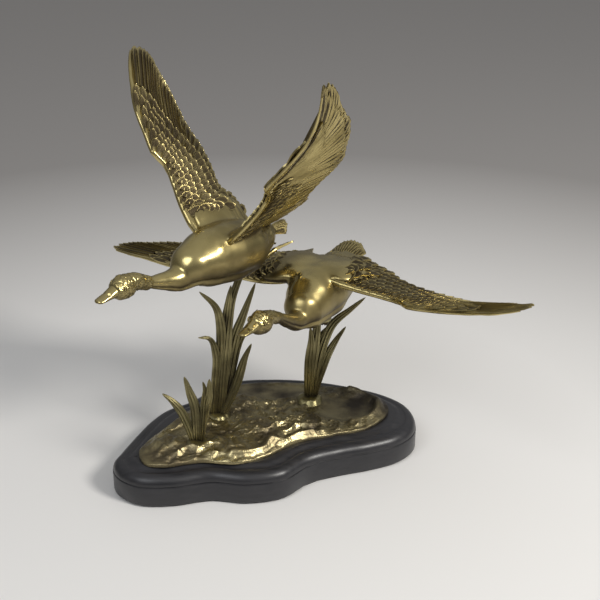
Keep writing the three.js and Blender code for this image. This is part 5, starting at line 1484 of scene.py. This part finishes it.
def groundHeights(flat):
    g = groundShape
    x, y = flat.T
    height = np.full(len(flat), float(g["floor"]))

    def spread(at, reach):
        return ((x - at[0]) / reach[0]) ** 2 + ((y - at[1]) / reach[1]) ** 2

    for at, reach, rise in g["banks"]:
        height += rise * np.exp(-g["bankFall"] * spread(at, reach))
    pool = np.max([1 - easeStep(spread(at, reach), *g["poolEdge"]) for at, reach in g["pools"]], axis=0)
    rolled = np.zeros(len(flat))
    for path, width, rise in g["rolls"]:
        line = evenCurve(path, 80)
        near = hump(np.min(np.linalg.norm(flat[:, None] - line[None], axis=2), axis=1), width)
        height += rise * near
        rolled += near
    # The crests wander, so that no two crags look alike
    bentX = x + 2.2 * np.sin(0.21 * y + 1.3) + 1.1 * np.sin(0.53 * x - 0.37 * y)
    bentY = y + 2 * np.sin(0.19 * x + 0.7) + np.cos(0.47 * x + 0.31 * y)
    crests = (1 - np.abs(np.sin(a * bentX + b * bentY + shift)) for a, b, shift in g["crests"])
    crags = sum(crests) - g["cragLevel"]
    rough = (1 - pool) * (1 - np.clip(rolled, 0, 1))
    solid = np.column_stack([flat, np.zeros(len(flat))])
    chips = np.abs(softNoise(solid, g["chipSize"], 2, 2)) - g["chipsFrom"]
    grit = softNoise(solid, g["gritSize"], 5, 2)
    height += rough * (g["cragHeight"] * crags + g["chips"] * chips) - pool * g["poolDepth"]
    return height + g["grit"] * grit * (g["gritInPools"] + (1 - g["gritInPools"]) * rough)


def groundPiece():
    g = groundShape
    count = g["sides"]
    outline = evenCurve(g["outline"], count, closed=True)
    centre = np.array(g["centre"], float)
    shares = np.concatenate([g["edgeShares"], np.linspace(0.98, 0.02, g["rings"])])
    flats = np.vstack([centre + (outline - centre) * share for share in shares])
    heights = np.maximum(groundHeights(flats), g["lowest"]).reshape(len(shares), count)
    edge = np.interp(shares, *g["edgeRise"])
    heights = g["edge"] + (heights - g["edge"]) * edge[:, None]
    heights[0] = 0
    rings = np.column_stack([flats, heights.ravel() + plinthTop]).reshape(len(shares), count, 3)
    points, faces = loft(rings)
    obj = meshObject("cast_ground", points * mm, outward(points, faces))
    finished(painted(obj, groundBrass), "ground_plate", sharp=70)


groundPiece()
print("ground made")


# Reeds: blades run from the foot's middle at the clump's place, and lean more up to the lean height

reedShape = {"foot": 8.5, "footHeight": 5.4, "collar": 2, "seat": 1.6, "saddleThickness": 2.2,
             "leanHeight": 40, "thickness": 1.3, "ribs": 9, "ribDepth": 0.3, "steps": 72, "footRough": 0.6,
             "pathPoints": 60, "footWidth": 0.7, "widest": 1.1, "tipWidth": 0.34, "taperFrom": 0.66,
             "taperPower": 1.5, "taper": 2.8, "tipFrom": 0.9, "tipLength": 0.1, "dentSize": 3.0}
reedClumps = {
    "tall_reeds": {
        "lean": [2.5, 5.3], "bird": upperBird, "carrier": (6, [[2, 0, 4], [5.6, 0.7, 64], [8, 2.7, 78]]),
        "blades": [
            (6.2, [[-1.5, 0, 4], [0.8, -1.3, 45], [0.9, -2.3, 66], [-1.5, -3.5, 76], [-10, -9, 88]]),
            (7, [[0.5, 0.7, 4], [3.7, 0.7, 44], [4.7, 0.7, 68], [7.8, 0, 88]]),
            (6, [[2.8, 1.7, 4], [9, 4.7, 52], [13.5, 6.7, 64], [21.5, 12.7, 84]]),
            (5.6, [[2.6, 2, 4], [6, 2.7, 24], [11.1, 5.7, 48.4], [17.7, 7.7, 59], [22.5, 10.7, 67.5]]),
            (5.6, [[3, -1.5, 4], [10.6, 1, 23.3], [14.7, 2.7, 38.7], [18.8, 4.7, 47.5]]),
            (5.4, [[-2.8, -1, 4], [-2, -1.3, 26], [-2, -2.3, 43], [-5.5, -4.6, 55.5], [-12, -7, 57.4]]),
        ],
    },
    "front_reeds": {
        "lean": [1.3, 3.2], "bird": None, "carrier": None,
        "blades": [
            (5.4, [[-2, 0, 4], [-5.3, -0.2, 14.5], [-9.4, -1.2, 24.5], [-14.7, -2, 31.7], [-20, -2, 36]]),
            (6, [[-0.4, 0, 4], [-1.3, -0.2, 26], [-4.5, 0.8, 35.2], [-7.6, 1.8, 44.8]]),
            (5.8, [[1.3, 0, 4], [3.8, -0.2, 22.5], [6.6, -1.2, 35], [7.2, -2.2, 45.4]]),
            (4.4, [[2.4, -0.6, 4], [4, -1, 29], [4.4, -1.2, 37.7], [3.4, -2.2, 43.8]]),
        ],
    },
    "right_reeds": {
        "lean": [0, 0], "bird": lowerBird, "carrier": (6.6, [[0, 0, 4], [0.6, 0.2, 22], [2.4, 0.6, 38]]),
        "blades": [
            (5.8, [[2, 0.5, 4], [3.6, 0.9, 18], [7.8, 2.9, 39], [14, 7, 52], [24.4, 11, 59.5], [34, 15, 66]]),
            (5.2, [[2.4, 0.9, 4], [4.9, 1.5, 14.5], [11, 2.9, 33], [16, 5.9, 41.3], [22, 8.9, 49]]),
            (5.8, [[-1.5, 0, 4], [-0.6, -0.6, 30], [0.6, -1.5, 44], [0, -3.2, 54.5]]),
            (4.8, [[1, 1, 4], [2, 1.4, 26], [3.6, 2, 42], [10.5, 3.4, 52]]),
        ],
    },
}


def reedBlade(name, width, path, origin, lean, blunt=False):
    r = reedShape
    count = r["pathPoints"]
    path = np.array(path, float)
    off = np.clip(path[:, 2:] / r["leanHeight"], None, 1) * [*lean, 0]
    share = np.linspace(0, 1, count)
    points = curveThrough(path + off + origin, share)
    points = alongLine(points, np.linspace(0, lineLength(points), count))
    # Narrower at the foot, widest near the middle, then drawn out to the tip
    rounding = np.sin(math.pi * np.minimum(1, share * r["widest"]))
    swell = r["footWidth"] + (1 - r["footWidth"]) * rounding
    taper = np.ones(count)
    if not blunt:
        drawn = np.maximum(0, share - r["taperFrom"]) ** r["taperPower"] * r["taper"]
        tip = np.clip((share - r["tipFrom"]) / r["tipLength"], 0, 1)
        taper = np.maximum(r["tipWidth"], 1 - drawn) * np.sqrt(np.maximum(1 - tip ** 2, 0.01))
    curve = bpy.data.curves.new(name, "CURVE")
    curve.dimensions = "3D"
    spline = curve.splines.new("POLY")
    spline.points.add(count - 1)
    for point, spot, radius in zip(spline.points, points * mm, swell * taper):
        point.co = (*spot, 1)
        point.radius = radius
    return grown(placed(name, curve), bladeTree, {
        "Width": width / 2 * mm, "Thickness": r["thickness"] * mm, "Ribs": r["ribs"],
        "Rib depth": r["ribDepth"], "Steps": r["steps"], "Material": reedBrass,
    }, name)


def plainPart(name, rings, bird=None):
    points, faces = loft(rings)
    points = toWorld(bird, points) if bird else points * mm
    return painted(meshObject(name, points, outward(points, faces)), reedBrass)


def reedPiece(name):
    clump, r = reedClumps[name], reedShape
    x, y = clampPlaces[name]
    footBottom = plinthTop + r["seat"]
    origin = np.array([x, y, footBottom])
    parts = [reedBlade(f"{name}_{i}", width, path, origin, clump["lean"])
             for i, (width, path) in enumerate(clump["blades"])]
    foot, top = r["foot"], r["footHeight"]
    profile = [(foot, 0), (foot, r["collar"]), (foot - 0.2, 2.3), (foot - 1.1, 3.6), (foot - 2, 4.7),
               (foot - 3.2, top), (foot - 5.5, top + 0.1)]
    rings = turned([(radius, footBottom + z) for radius, z in profile], (x, y), closeSides)
    dents = softNoise(rings.reshape(-1, 3), r["dentSize"], 8, 3).reshape(rings.shape[:2])
    free = np.array([z > 1 for _, z in profile])
    rings = rings + unit(rings - [x, y, footBottom]) * (r["footRough"] * dents * free[:, None])[..., None]
    parts.append(plainPart(name + "_foot", rings))
    bird = clump["bird"]
    if bird:
        top = bellyLevel(bird) - birdShape["boss"] - screwShape["gap"]
        at, wide, thick = bird["saddleForward"], birdShape["saddleRadius"], r["saddleThickness"]
        profile = [(wide - 0.4, top), (wide - 0.1, top - 0.15), (wide, top - 0.6), (wide, top - thick + 0.6),
                   (wide - 0.15, top - thick + 0.15), (wide - 0.5, top - thick)]
        parts.append(plainPart(name + "_saddle", turned(profile, (at, 0), hiddenSides), bird))
        edge = toWorld(bird, [[at, 0, top - thick / 2]])[0] / mm
        width, stem = clump["carrier"]
        aside = (np.array(stem[-1], float) + origin - edge) * [1, 1, 0]
        end = edge + unit(aside) * wide * 0.8 - origin - [*clump["lean"], 0]
        path = [*stem, list(end)]
        parts.append(reedBlade(name + "_carrier", width, path, origin, clump["lean"], blunt=True))
    finished(joinedObject(name + "_casting", parts), name, sharp=60)


for name in clampPlaces:
    reedPiece(name)
print("reeds made")

for form in featherForms.values():
    bpy.data.objects.remove(form)


# Floor, lights and camera

stageLook = {
    # The floor is painted as a pool of light that falls off to a quiet grey away from the figurine: distance
    # in metres, then the two colours
    "floorSize": 12, "floorRough": 0.7, "lightPoolSpan": (0.22, 0.6),
    "lightPoolTones": ((0.8, 0.79, 0.775), (0.36, 0.345, 0.335)),
    "middle": (0.02, 0, 0.1),
    # Lamps: place, size and power, colour
    "lamps": {"key": ((0.75, -0.5, 0.8), 0.3, 9.0, (1, 0.97, 0.92)),
              "fill": ((-0.5, -0.7, 0.95), 0.7, 3.5, (0.93, 0.96, 1))},
    # Brightness of the room from straight down to straight up, and from left to right
    "world": ((0.0, 0.25), (0.5, 0.15), (0.6, 0.18), (0.7, 0.32), (0.8, 0.36), (1.0, 0.45)),
    "leftToRight": (0.75, 1.2),
}


def stageFloor():
    bpy.ops.mesh.primitive_plane_add(size=stageLook["floorSize"], location=(0, 0, 0))
    floor = bpy.context.object
    floor.name = "floor"
    material, tree, surface = shader("floorPaint")
    # Painted pool of light: the floor colour darkens with distance from the middle
    away = rangeNode(tree, lengthOf(tree, objectCoords(tree)), *stageLook["lightPoolSpan"], 0, 1)
    tree.links.new(mixNode(tree, away, *stageLook["lightPoolTones"]), surface.inputs["Base Color"])
    surface.inputs["Roughness"].default_value = stageLook["floorRough"]
    floor.data.materials.append(material)


def areaLamp(name, place, size, power, color):
    lamp = bpy.data.lights.new(name, "AREA")
    lamp.shape, lamp.size, lamp.energy, lamp.color = "DISK", size, power, color
    obj = placed(name, lamp)
    obj.location = place
    obj.rotation_euler = (Vector(stageLook["middle"]) - Vector(place)).to_track_quat("-Z", "Y").to_euler()


def studioWorld():
    world = bpy.data.worlds.new("studio")
    bpy.context.scene.world = world
    world.use_nodes = True
    tree = world.node_tree
    back = tree.nodes["Background"]
    side, _, up = partsOf(tree, tree.nodes.new("ShaderNodeTexCoord").outputs["Generated"])
    ramp = tree.nodes.new("ShaderNodeValToRGB")
    elements, stops = ramp.color_ramp.elements, stageLook["world"]
    elements[0].position, elements[1].position = stops[0][0], stops[-1][0]
    elements[0].color = (stops[0][1],) * 3 + (1,)
    elements[1].color = (stops[-1][1],) * 3 + (1,)
    for position, level in stops[1:-1]:
        elements.new(position).color = (level, level, level, 1)
    tree.links.new(rangeNode(tree, up, -1, 1, 0, 1), ramp.inputs[0])
    tree.links.new(ramp.outputs[0], back.inputs["Color"])
    tree.links.new(rangeNode(tree, side, -1, 1, *stageLook["leftToRight"]), back.inputs["Strength"])


stageFloor()
studioWorld()
for lampName, lamp in stageLook["lamps"].items():
    areaLamp(lampName, *lamp)

view = {"place": (0.0226, -0.5982, 0.3779), "pitch": 65, "lens": 67.2, "sensor": 36}
cameraData = bpy.data.cameras.new("camera")
cameraData.lens, cameraData.sensor_width = view["lens"], view["sensor"]
cameraData.clip_start = 0.01
cameraObject = placed("camera", cameraData)
cameraObject.location = view["place"]
cameraObject.rotation_euler = (math.radians(view["pitch"]), 0, 0)
bpy.context.scene.camera = cameraObject
bpy.context.scene.view_settings.view_transform = "Standard"
print("stage set")

bpy.context.view_layer.update()
